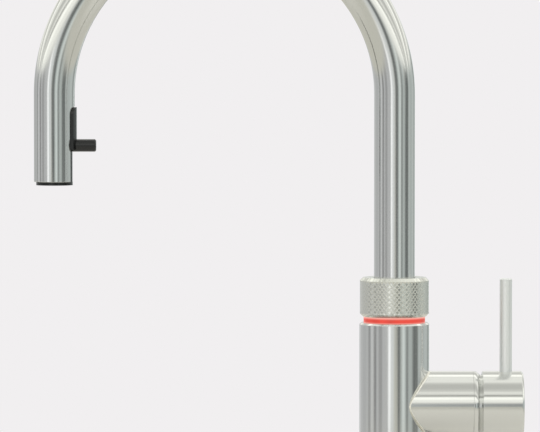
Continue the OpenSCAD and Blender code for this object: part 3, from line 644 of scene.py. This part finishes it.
def slotPrism(half, corner, low, high):
    # a bar along +x whose two upper corners are rounded: the slot's shape, and the grip tongue's
    bm = bmesh.new()
    bmesh.ops.create_grid(bm, x_segments=1, y_segments=1, size=1)
    turn = Matrix.Rotation(math.pi / 2, 4, "Y")
    middle = Matrix.Translation((0, 0, (low + high) / 2))
    laid(bm, middle @ Matrix.Diagonal((1, half, (high - low) / 2, 1)) @ turn)
    upper = [v for v in bm.verts if v.co.z > (low + high) / 2]
    bevelBy(bm, upper, corner, cornerSteps, "VERTICES")
    side = bmesh.ops.extrude_face_region(bm, geom=bm.faces[:])["geom"]
    bmesh.ops.translate(bm, verts=vertsOf(side), vec=(2 * tubeR, 0, 0))
    bmesh.ops.recalc_face_normals(bm, faces=bm.faces)
    return bm


# the sizes that several pieces share, from the frame
tubeLow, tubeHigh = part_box("spout_tube")
tubeR = tubeHigh.x
legX = tubeLow.x + tubeR
bendR = -legX / 2
arcZ = tubeHigh.z - tubeR - bendR
slotGap = 0.3 * mm                        # between the grip tongue and the slot's edge
lipH = 2.3 * mm                           # the black lip that shows under the metal end
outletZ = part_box("nozzle_body")[0].z + lipH
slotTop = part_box("grip_tongue")[1].z + slotGap
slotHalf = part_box("grip_tongue")[1].y + slotGap
slotRound = 5 * mm                        # radius of the slot's two upper corners
cornerSteps = 16
columnLow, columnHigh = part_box("column_body")
columnR = columnHigh.y
armLow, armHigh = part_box("mixer_arm")
armR = (armHigh.z - armLow.z) / 2
armZ = (armHigh.z + armLow.z) / 2
joints = {joint["name"]: joint for joint in frame["joints"]}
pivotX = joints["mixer_flow"]["pos_m"][0]
hollowR = armR + 0.55 * mm                # hollow of the handle cap, round the pivot

spoutTube = {
    "segments": 128,
    "bendSteps": 120,
    "wall": 1.5 * mm,
    "edge": 0.3 * mm,
    "legRows": 2,                  # rows of faces on the two straight ends
    "columnRows": 4,
    "slotPast": 5 * mm,            # how far the slot's cutter runs past the metal end
    # degrees; the leg mirrors the cards turned by twice this, as it would if they stood near
    "legTurn": 8,
}


def makeSpout(size):
    bm = bmesh.new()
    bmesh.ops.create_circle(bm, segments=size["segments"], radius=tubeR)
    bmesh.ops.translate(bm, verts=bm.verts, vec=(legX, 0, outletZ))
    ring = bm.edges[:]

    def draw(height, steps):
        nonlocal ring
        for i in range(steps):
            geom = bmesh.ops.extrude_edge_only(bm, edges=ring)["geom"]
            ring = edgesOf(geom)
            bmesh.ops.translate(bm, verts=vertsOf(geom), vec=(0, 0, height / steps))

    draw(arcZ - outletZ, size["legRows"])
    ends = ring + list({v for e in ring for v in e.verts})
    last = bmesh.ops.spin(bm, geom=ends, cent=(legX + bendR, 0, arcZ), axis=(0, 1, 0),
                          angle=math.pi, steps=size["bendSteps"], use_merge=False)["geom_last"]
    ring = edgesOf(last)
    draw(tubeLow.z - arcZ, size["columnRows"])
    bmesh.ops.recalc_face_normals(bm, faces=bm.faces)
    # an open tube has no inside, so the stretch over the column tells which way its faces point
    middles = [(face.normal, face.calc_center_median()) for face in bm.faces]
    if sum(normal.x * at.x for normal, at in middles if at.z < arcZ and at.x > legX / 2) < 0:
        bmesh.ops.reverse_faces(bm, faces=bm.faces)

    cutter = onLeg(slotPrism(slotHalf, slotRound, outletZ - size["slotPast"], slotTop))
    for face in bm.faces:
        face.smooth = True
    piece = looseObject("spoutTube", bm)
    slot = looseObject("slotCutter", cutter)
    wall = piece.modifiers.new("wall", "SOLIDIFY")
    wall.thickness = size["wall"]
    wall.offset = -1
    cut = piece.modifiers.new("slot", "BOOLEAN")
    cut.operation = "DIFFERENCE"
    cut.solver = "EXACT"
    cut.object = slot
    edge = piece.modifiers.new("edge", "BEVEL")
    edge.width = size["edge"]
    edge.segments = 2
    edge.limit_method = "ANGLE"
    edge.angle_limit = math.radians(sharpTurn)
    edge.use_clamp_overlap = False
    mesh = bpy.data.meshes.new_from_object(piece.evaluated_get(bpy.context.evaluated_depsgraph_get()))
    piece.modifiers.clear()
    piece.data = mesh
    bpy.data.meshes.remove(slot.data)

    # where each point lies across and along the tube, for the polishing marks
    mesh.attributes.new("streak", "FLOAT_VECTOR", "POINT")
    mesh.attributes.new("turn", "FLOAT", "POINT")
    streaks, turns = mesh.attributes["streak"].data, mesh.attributes["turn"].data
    leg = arcZ - outletZ
    for vertex, value, angle in zip(mesh.vertices, streaks, turns):
        x, y, z = vertex.co
        angle.value = math.radians(size["legTurn"]) * min(1, max(0, x / legX))
        if z > arcZ:
            across = math.hypot(x - legX - bendR, z - arcZ) - bendR
            length = leg + bendR * math.atan2(z - arcZ, legX + bendR - x)
        elif x < legX + bendR:
            across = legX - x
            length = z - outletZ
        else:
            across = x
            length = leg + math.pi * bendR + arcZ - z
        value.vector = (across, y, length * steelLook["streakStretch"])
    finishPiece(piece, polishedSteel("polishedSteelSpout", "tube"), ["spout_tube"])


makeSpout(spoutTube)
print("spout made")

steelUpright = polishedSteel("polishedSteelUpright", "z")
steelAlongArm = polishedSteel("polishedSteelArm", "x")
rodLook = dict(steelLook, colour="#f6f8f8", roughness=0.42, roughnessSpread=0.04, streakDepth=0.001 * mm)
steelRod = polishedSteel("satinSteelRod", "z", rodLook)       # centreless-ground bar, with a softer shine

column = {
    "steps": 256,
    "chamfer": 1.2 * mm,
    "lightClear": 0.05 * mm,       # between the light ring and its seat
    "edge": 0.15 * mm,
    "boreClear": 0.05 * mm,        # round the cartridge housing
    "boreSteps": 96,
    "armClear": 5 * mm,            # two rows of points this far over and under the arm
}


def makeColumn(size):
    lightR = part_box("light_ring")[1].y + size["lightClear"]
    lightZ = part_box("light_ring")[0].z
    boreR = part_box("sensor_board")[1].y + size["lightClear"]
    top = columnHigh.z
    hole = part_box("cartridge_housing")[1].y + size["boreClear"]
    clear = armR + size["armClear"]
    bm = turned([
        (boreR, columnLow.z), (columnR, columnLow.z), (columnR, armZ - clear), (columnR, armZ + clear),
        (columnR, top - size["chamfer"]), (columnR - size["chamfer"], top), (lightR, top),
        (lightR, lightZ), (boreR, lightZ), (boreR, armZ + clear), (boreR, armZ - clear)], size["steps"])
    soften(bm, size["edge"])
    way = bmesh.new()
    bmesh.ops.create_cone(way, cap_ends=True, segments=size["boreSteps"], radius1=hole, radius2=hole,
                          depth=2 * columnR)
    laid(way, onArm(columnR))
    makePiece("columnBody", combined(bm, way, "DIFFERENCE"), steelUpright, "column_body")


makeColumn(column)

# a weld bead ground by hand scatters the light and hardly mirrors; its near-white colour is also a painted
# highlight, standing in for the bright line along the seam
groundWeld = grained("groundWeld", {"Metallic": 0.15, "Roughness": 0.5},
                     ("#e9e7da", "#f7f5e9"), 0.5 * mm, 0.01 * mm)

mixerArm = {
    "steps": 192,
    "footTop": 0.5 * mm,           # how far the weld reaches up the column over the arm's top
    "footSide": -3.0 * mm,         # halfway up it ends short, where the two rounds nearly touch
    "toeTop": 0.9 * mm,            # and how far it reaches along the arm
    "toeSide": 3.9 * mm,
    "rows": 6,
    "step": 1 * mm,                # length of a row before the weld is shaped from it
    "inset": 1 * mm,               # how far the bore runs in behind the column's face
    "sink": 0.03 * mm,             # the weld's last row lies this far inside the column's face
    "edge": 0.15 * mm,
}


def makeArm(size):
    rows = size["rows"]
    step = size["step"]
    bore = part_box("cartridge_housing")[1].y + column["boreClear"]
    bm = bmesh.new()
    mouthR = armR - size["edge"]
    bmesh.ops.create_circle(bm, segments=size["steps"], radius=mouthR)
    laid(bm, onArm(armHigh.x))
    ring = bm.edges[:]

    def draw(length):
        nonlocal ring
        geom = bmesh.ops.extrude_edge_only(bm, edges=ring)["geom"]
        ring = edgesOf(geom)
        drawn = vertsOf(geom)
        bmesh.ops.translate(bm, verts=drawn, vec=(-length, 0, 0))
        return drawn

    for vertex in draw(size["edge"]):
        vertex.co.y *= armR / mouthR
        vertex.co.z = armZ + (vertex.co.z - armZ) * armR / mouthR
    for i in range(rows + 1):
        draw(step)
    for face in bm.faces:
        # the row next to the mouth is the tube, the others are the weld
        face.material_index = 0 if face.calc_center_median().x > armHigh.x - step else 1
    for vertex in bm.verts:
        row = round((armHigh.x - vertex.co.x) / step) - 1
        if row < 0:
            continue
        u = 1 - row / rows                # 1 on the arm, 0 on the column
        y, z = vertex.co.y, vertex.co.z
        seam = Vector((math.sqrt(columnR ** 2 - y ** 2), y, z))
        away = Vector((0, y, z - armZ)).normalized()
        face = Vector((seam.x, y, 0)).normalized()
        flank = abs(y / armR) ** 2
        foot = size["footTop"] + (size["footSide"] - size["footTop"]) * flank
        toe = size["toeTop"] + (size["toeSide"] - size["toeTop"]) * flank
        onColumn = seam + foot * (away - away.dot(face) * face).normalized()
        drawIn(onColumn, (columnR - size["sink"]) / math.hypot(onColumn.x, onColumn.y))
        onTube = seam + Vector((toe, 0, 0))
        corner = seam.lerp((onColumn + onTube) / 2, flank)
        vertex.co = (1 - u) ** 2 * onColumn + 2 * u * (1 - u) * corner + u ** 2 * onTube
    # the mouth's face and the bore's wall, which meets the weld's end inside the column
    mouth = [e for e in bm.edges if e.is_boundary and e not in ring]
    for x in (armHigh.x, None):
        geom = bmesh.ops.extrude_edge_only(bm, edges=mouth)["geom"]
        mouth = edgesOf(geom)
        for vertex in vertsOf(geom):
            flat = Vector((0, vertex.co.y, vertex.co.z - armZ)).normalized() * bore
            x0 = x or math.sqrt(columnR ** 2 - flat.y ** 2) - size["inset"]
            vertex.co = (x0, flat.y, armZ + flat.z)
    bmesh.ops.bridge_loops(bm, edges=mouth + ring)
    bmesh.ops.recalc_face_normals(bm, faces=bm.faces)
    arm = makePiece("mixerArm", bm, steelAlongArm, "mixer_arm")
    # the weld's rows get the matt weld, painted pale as a highlight along the seam
    arm.data.materials.append(groundWeld)


makeArm(mixerArm)

domeCover = {
    "steps": 192,
    "flat": 1.9 * mm,              # straight start, flush with the arm
    "groove": 2.9 * mm,            # depth of the groove in front of the handle cap
    "grooveSet": 1.1 * mm,         # from the groove's bottom to the cap's rim
    "rise": 1.75,                  # how steep the groove rises towards the cap
    "ballClear": 0.1 * mm,         # between the ball and the cap's hollow
    "wall": 1.1 * mm,
    "shoulder": 1.4 * mm,          # how softly the groove begins
    "spigotIn": 18.7 * mm,
    "spigotOut": 20 * mm,
    "spigotL": 6.2 * mm,
    "edge": 0.12 * mm,
    "shoulderSteps": 8,
    "ballSteps": 16,
    "innerSteps": 20,
}


def makeDome(size):
    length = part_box("dome_cover")[1].x - pivotX
    start = armHigh.x - pivotX
    ball = hollowR - size["ballClear"]
    inner = ball - size["wall"]
    turn = start + size["flat"]
    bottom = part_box("handle_cap")[0].x - pivotX - size["grooveSet"]
    bottomR = armR - size["groove"]
    slope = math.atan2(size["groove"], bottom - turn)
    soft = size["shoulder"]
    # the groove's far side is a straight line, up to where it meets the ball
    rise = size["rise"]
    along = bottom + rise * bottomR
    steep = 1 + rise ** 2
    run = (math.sqrt(along ** 2 - steep * (bottom ** 2 + bottomR ** 2 - ball ** 2)) - along) / steep
    foot = math.degrees(math.asin((bottom + run) / ball))
    outerEnd = math.degrees(math.asin(length / ball))
    innerEnd = math.degrees(math.asin(length / inner))
    innerStart = math.degrees(math.acos(size["spigotIn"] / inner))
    outline = [(armR, start)]
    # the shoulder is an arc that touches the straight start and the slope
    radius = soft / math.tan(slope / 2)
    outline += arc((armR - radius, turn - soft), radius, 0, math.degrees(slope),
                   size["shoulderSteps"])
    outline += [(bottomR, bottom)] + arc((0, 0), ball, foot, outerEnd, size["ballSteps"])
    outline += arc((0, 0), inner, innerEnd, innerStart, size["innerSteps"])
    outline += [(size["spigotIn"], start - size["spigotL"]), (size["spigotOut"], start - size["spigotL"]),
                (size["spigotOut"], start)]
    bm = soften(turned(outline, size["steps"]), size["edge"], sharp=sharpTurn)
    makePiece("domeCover", laid(bm, onArm(pivotX)), steelAlongArm, "dome_cover")


makeDome(domeCover)

handleCap = {
    "steps": 192,
    "endEdge": 1.3 * mm,
    "edge": 0.25 * mm,
    "rimEdge": 0.3 * mm,           # the rounded rim beside the groove
    "rimSteps": 5,
    "hollowSteps": 24,
    "holeSteps": 64,
    "rodEdge": 0.6 * mm,
    "rodSoft": 0.2 * mm,
    "rodClear": 0.05 * mm,
    "rodSteps": 96,
}


def makeCap(size):
    low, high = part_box("handle_cap")
    rim, end = low.x - pivotX, high.x - pivotX
    start = math.degrees(math.asin(rim / hollowR))
    rimR = size["rimEdge"]
    outline = [(0, end), (armR - size["endEdge"], end), (armR, end - size["endEdge"])]
    outline += arc((armR - rimR, rim + rimR), rimR, 0, -90, size["rimSteps"])
    outline += arc((0, 0), hollowR, start, 90, size["hollowSteps"])
    bm = soften(turned(outline, size["steps"]), size["edge"])
    rodLow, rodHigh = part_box("lever_rod")
    rodR = (rodHigh.x - rodLow.x) / 2
    rodX = (rodHigh.x + rodLow.x) / 2
    laid(bm, onArm(pivotX))
    hole = bmesh.new()
    holeR = rodR + size["rodClear"]
    bmesh.ops.create_cone(hole, cap_ends=True, segments=size["holeSteps"], radius1=holeR, radius2=holeR,
                          depth=armR)
    bmesh.ops.translate(hole, verts=hole.verts, vec=(rodX, 0, rodLow.z + armR / 2))
    makePiece("handleCap", combined(bm, hole, "DIFFERENCE"), steelAlongArm, "handle_cap")
    edge = size["rodEdge"]
    rod = turned([(0, rodLow.z), (rodR, rodLow.z), (rodR, rodHigh.z - edge), (rodR - edge, rodHigh.z),
                  (0, rodHigh.z)], size["rodSteps"])
    bmesh.ops.translate(rod, verts=rod.verts, vec=(rodX, 0, 0))
    makePiece("leverRod", soften(rod, size["rodSoft"]), steelRod, "lever_rod")


makeCap(handleCap)
print("column, arm and handle made")

controlRing = {
    "columns": 112,                # half diamonds round the ring, so the pitch is 2.7 mm
    "rowPitch": 1.68 * mm,
    "depth": 0.16 * mm,
    "shallow": 0.05 * mm,          # a point of the band that lies deeper than this is in a valley
    "near": 0.1 * mm,
    "flat": 1.1 * mm,              # from a diamond's middle to the corner of its flat top
    "bevelH": 2.1 * mm,
    "bevelR": 2.2 * mm,
    "tubeClear": 0.4 * mm,
    "sleeveClear": 0.05 * mm,
    "lightClear": 0.4 * mm,
    "roof": 4.9 * mm,              # height of the hollow over the light ring
    "lip": 3.1 * mm,
    "edge": 0.15 * mm,
    "sharp": 50,                   # degrees; only edges that turn by more get that edge
}


def makeRing(size):
    low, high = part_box("control_ring")
    ringR = (high.x - low.x) / 2
    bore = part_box("push_sleeve")[1].y + size["sleeveClear"]
    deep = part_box("light_ring")[1].y + size["lightClear"]
    bandLow, bandHigh = low.z + size["bevelH"], high.z - size["bevelH"]
    rows = round((bandHigh - bandLow) / size["rowPitch"])
    band = [(ringR, bandLow + (bandHigh - bandLow) * i / rows) for i in range(rows + 1)]
    outline = [(deep, low.z), (ringR - size["bevelR"], low.z)] + band
    outline += [(ringR - size["bevelR"], high.z), (tubeR + size["tubeClear"], high.z),
                (tubeR + size["tubeClear"], high.z - size["lip"]), (bore, high.z - size["lip"]),
                (bore, low.z + size["roof"]), (deep, low.z + size["roof"])]
    bm = turned(outline, size["columns"])
    edges = [e for e in bm.edges if e.calc_face_angle(0) > math.radians(size["sharp"])]
    bevelBy(bm, edges, size["edge"], 2)
    for face in bm.faces:
        face.smooth = True
    # every second crossing of the band's grid is a valley, and the others inside the band are the
    # middles of the diamonds
    near = size["near"]
    valleys, peaks = [], []
    for vertex in bm.verts:
        x, y, z = vertex.co
        inBand = bandLow - near < z < bandHigh + near
        if not inBand or math.hypot(x, y) < ringR - near:
            continue
        around = round(math.atan2(y, x) / (2 * math.pi) * size["columns"])
        row = round((z - bandLow) / (bandHigh - bandLow) * rows)
        if (around + row) % 2:
            valleys.append(vertex)
        elif 0 < row < rows:
            peaks.append(vertex)
    for vertex in valleys:
        drawIn(vertex.co, 1 - size["depth"] / ringR)
    bmesh.ops.connect_verts(bm, verts=valleys)
    bevelBy(bm, peaks, size["flat"], 1, "VERTICES")
    piece = looseObject("controlRing", bm)
    mesh = piece.data

    def inValley(place):
        reach = math.hypot(place.x, place.y)
        inBand = bandLow - near < place.z < bandHigh + near
        return inBand and ringR - 2 * size["depth"] < reach < ringR - size["shallow"]

    # the diamonds' tops and the bevels are shaded round, as they were turned, and their flanks flat
    normals = []
    for face in mesh.polygons:
        centre = Vector((face.center.x, face.center.y, 0)).normalized()
        out = face.normal.dot(centre)
        corners = [mesh.vertices[i].co for i in face.vertices]
        flank = any(inValley(corner) for corner in corners)
        for corner in corners:
            away = Vector((corner.x, corner.y, 0)).normalized() * out
            normals.append(face.normal if flank else Vector((away.x, away.y, face.normal.z)))
    mesh.normals_split_custom_set(normals)
    material = grained("knurledSteel", {"Metallic": 1.0, "Roughness": 0.2},
                       ("#d8d9d2", "#e8e9e3"), 0.6 * mm, 0.01 * mm)
    finishPiece(piece, material, ["control_ring"]).modifiers.clear()


makeRing(controlRing)


lightRing = {
    "wall": 2.2 * mm,
    "edge": 0.2 * mm,
    "steps": 192,
}


def makeLight(size):
    low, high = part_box("light_ring")
    outer = high.y
    inner = outer - size["wall"]
    bm = turned([(inner, low.z), (outer, low.z), (outer, high.z), (inner, high.z)], size["steps"])
    glowing = litPlastic("redPolycarbonate", lightLook, columnHigh.z)
    makePiece("lightRing", soften(bm, size["edge"]), glowing, "light_ring")


makeLight(lightRing)
print("ring and light made")

blackPlastic = grained("blackNylon", {"Roughness": 0.22, "Specular IOR Level": 0.5},
                       ("#0c0d0d", "#171919"), 0.5 * mm, 0.01 * mm)

outlet = {
    "clear": 0.1 * mm,             # to the spout tube, round the body and over the lip
    "lipEdge": 0.35 * mm,
    "wall": 1.4 * mm,
    "bodySteps": 128,
    "tongueProud": 1.4 * mm,
    "tongueEdge": 0.35 * mm,
    "tongueSteps": 192,
    "blankLow": 2 * mm,            # how far the tongue's blank runs past it, below and above
    "blankHigh": 1 * mm,
    "pinEdge": 0.8 * mm,
    "pinSoft": 0.25 * mm,
    "pinSteps": 64,
}


def makeOutlet(size):
    low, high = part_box("nozzle_body")
    lipR = (high.x - low.x) / 2
    bodyR = tubeR - spoutTube["wall"] - size["clear"]
    lipTop = outletZ - size["clear"]
    bm = turned([(bodyR - size["wall"], low.z), (lipR, low.z), (lipR, lipTop), (bodyR, lipTop),
                 (bodyR, high.z), (bodyR - size["wall"], high.z)], size["bodySteps"])
    makePiece("nozzleBody", onLeg(soften(bm, size["lipEdge"])), blackPlastic, "nozzle_body")

    low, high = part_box("grip_tongue")
    pinLow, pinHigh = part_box("grip_pin")
    pinR = (pinHigh.z - pinLow.z) / 2
    pinZ = (pinHigh.z + pinLow.z) / 2
    plate = slotPrism(high.y, slotRound - slotGap, low.z, high.z)
    proudR = tubeR + size["tongueProud"]
    foot, head = low.z - size["blankLow"], high.z + size["blankHigh"]
    blank = turned([(bodyR, foot), (proudR, foot), (proudR, head), (bodyR, head)], size["tongueSteps"])
    tongue = soften(combined(blank, plate, "INTERSECT"), size["tongueEdge"], segments=3, sharp=35)
    makePiece("gripTongue", onLeg(tongue), blackPlastic, "grip_tongue")

    reach = pinHigh.x - legX
    edge = size["pinEdge"]
    pin = turned([(0, pinLow.x - legX), (pinR, pinLow.x - legX), (pinR, reach - edge),
                  (pinR - edge, reach), (0, reach)], size["pinSteps"])
    soften(pin, size["pinSoft"], segments=3)
    laid(pin, Matrix.Translation((legX, 0, pinZ)) @ Matrix.Rotation(math.pi / 2, 4, "Y"))
    makePiece("gripPin", pin, blackPlastic, "grip_pin")


makeOutlet(outlet)


drawnHose = {
    "wall": 2 * mm,
    "rows": 24,                    # rings along it, evenly spaced, so that a stretch would spread evenly between them
    "steps": 64,
}


def makeHose(size):
    low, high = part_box("hose_leg")
    radius = (high.x - low.x) / 2
    rows = size["rows"]
    outside = [(radius, low.z + (high.z - low.z) * i / rows) for i in range(rows + 1)]
    inside = [(radius - size["wall"], z) for r, z in reversed(outside)]
    bm = onLeg(turned(outside + inside, size["steps"]))
    for face in bm.faces:
        face.smooth = True
    piece = looseObject("drawnHose", bm)
    piece.data.materials.append(braidedHose("braidedHose", hoseLook, legX))
    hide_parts("hose_leg")
    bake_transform(piece)


makeHose(drawnHose)
print("outlet and hose made")

flange = {
    "edge": 1.0 * mm,
    "gasketWide": 5 * mm,
    "gasketThick": 1.5 * mm,
    "gasketSet": 3 * mm,
    "shankClear": 0.05 * mm,
    "soft": 0.2 * mm,
    "steps": 192,
}


def makeFlange(size):
    low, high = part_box("base_flange")
    radius = (high.y - low.y) / 2
    seam = columnLow.z
    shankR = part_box("threaded_shank")[1].x + size["shankClear"]
    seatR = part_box("sensor_board")[1].y
    gasketR = radius - size["gasketSet"]
    bm = turned([
        (shankR, 0), (gasketR - size["gasketWide"], 0), (gasketR - size["gasketWide"], size["gasketThick"]),
        (gasketR, size["gasketThick"]), (gasketR, 0), (radius, 0), (radius, seam - size["edge"]),
        (radius - size["edge"], seam), (seatR, seam), (seatR, high.z), (shankR, high.z)], size["steps"])
    makePiece("baseFlange", soften(bm, size["soft"]), steelUpright, "base_flange")


makeFlange(flange)

zincSteel = turnedMarks("zincPlatedSteel", {"Metallic": 1.0, "Roughness": 0.32},
                        ("#b9bcc0", "#d2d4d6"), 0.5 * mm, 0.02 * mm)

shank = {
    "pitch": 1.5 * mm,
    "depth": 0.9 * mm,
    "profile": ((1, 0), (1, 0.15), (0, 0.5), (0, 0.65)),    # corners as shares of depth and pitch
    "before": 2,                   # spare turns below and above, which are cut off
    "after": 1,
    "wall": 1.75 * mm,
    "lead": 0.8 * mm,
    "steps": 72,
    "near": 0.01 * mm,
}


def makeShank(size):
    # the thread is one zigzag line, spun with a lift of one pitch for each turn, then cut flat
    low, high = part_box("threaded_shank")
    radius = high.x
    pitch = size["pitch"]
    near = size["near"]
    turns = math.ceil((high.z - low.z) / pitch) + size["before"] + size["after"]
    bm = bmesh.new()
    corners = []
    for i in range(turns):
        z = low.z + (i - size["before"]) * pitch
        for deep, rise in size["profile"]:
            corners.append(bm.verts.new((radius - deep * size["depth"], 0, z + rise * pitch)))
    edges = [bm.edges.new(pair) for pair in zip(corners, corners[1:])]
    bmesh.ops.spin(bm, geom=corners + edges, cent=(0, 0, 0), axis=(0, 0, 1), angle=2 * math.pi,
                   steps=size["steps"], dvec=(0, 0, pitch / size["steps"]), use_merge=False)
    bmesh.ops.remove_doubles(bm, verts=bm.verts, dist=near)
    for z, way in ((low.z, -1), (high.z, 1)):
        bmesh.ops.bisect_plane(bm, geom=bm.verts[:] + bm.edges[:] + bm.faces[:], plane_co=(0, 0, z),
                               plane_no=(0, 0, way), clear_outer=True)
    for vertex in bm.verts:
        most = radius - max(0, size["lead"] - (vertex.co.z - low.z))
        here = math.hypot(vertex.co.x, vertex.co.y)
        if here > most:
            drawIn(vertex.co, most / here)
    loops = []
    for z in (low.z, high.z):
        rim = [e for e in bm.edges if e.is_boundary and all(abs(v.co.z - z) < near for v in e.verts)]
        geom = bmesh.ops.extrude_edge_only(bm, edges=rim)["geom"]
        for vertex in vertsOf(geom):
            drawIn(vertex.co, (radius - size["wall"]) / math.hypot(vertex.co.x, vertex.co.y))
        loops += edgesOf(geom)
    bmesh.ops.bridge_loops(bm, edges=loops)
    bmesh.ops.recalc_face_normals(bm, faces=bm.faces)
    makePiece("threadedShank", bm, zincSteel, "threaded_shank")


makeShank(shank)

slotLooks = {
    "stainless": steelUpright,
    "zinc_steel": zincSteel,
    "black_plastic": blackPlastic,
    "rubber": grained("blackRubber", {"Roughness": 0.75, "Specular IOR Level": 0.3},
                      ("#141414", "#262626"), 0.8 * mm, 0.03 * mm),
    "brass": turnedMarks("turnedBrass", {"Metallic": 1.0, "Roughness": 0.24},
                         ("#c9a75a", "#e0c47c"), 0.4 * mm, 0.015 * mm),
    "copper": grained("drawnCopper", {"Metallic": 1.0, "Roughness": 0.28},
                      ("#b97a56", "#d39a78"), 2 * mm, 0.01 * mm),
    "hose": braidedHose("innerHose", hoseLook, 0),
    "white_plastic": grained("whiteAcetal", {"Roughness": 0.4}, ("#dcdad2", "#ebe9e2"), 1 * mm, 0.01 * mm),
    "grey_plastic": grained("greyAcetal", {"Roughness": 0.45}, ("#777a7c", "#8c8f91"), 1 * mm, 0.01 * mm),
    "ceramic": grained("aluminaCeramic", {"Roughness": 0.15}, ("#e9e6dc", "#f2efe6"), 0.3 * mm, 0.002 * mm),
    "circuit": grained("solderMask", {"Roughness": 0.35}, ("#14532d", "#1e6b3d"), 1.5 * mm, 0.02 * mm),
    "magnet": grained("nickelPlate", {"Metallic": 1.0, "Roughness": 0.22}, ("#b8b6ae", "#cfcdc6"),
                      1 * mm, 0.005 * mm),
    "knurled_steel": steelUpright,      # these two slots' nodes are replaced, so this never shows
    "light": steelUpright,
}


def dressNodes():
    # the CAD nodes that stay get their slot's material
    for name, node in nodes.items():
        node.data.materials.clear()
        node.data.materials.append(slotLooks[slotOf[name]])


dressNodes()
print("remaining nodes dressed")
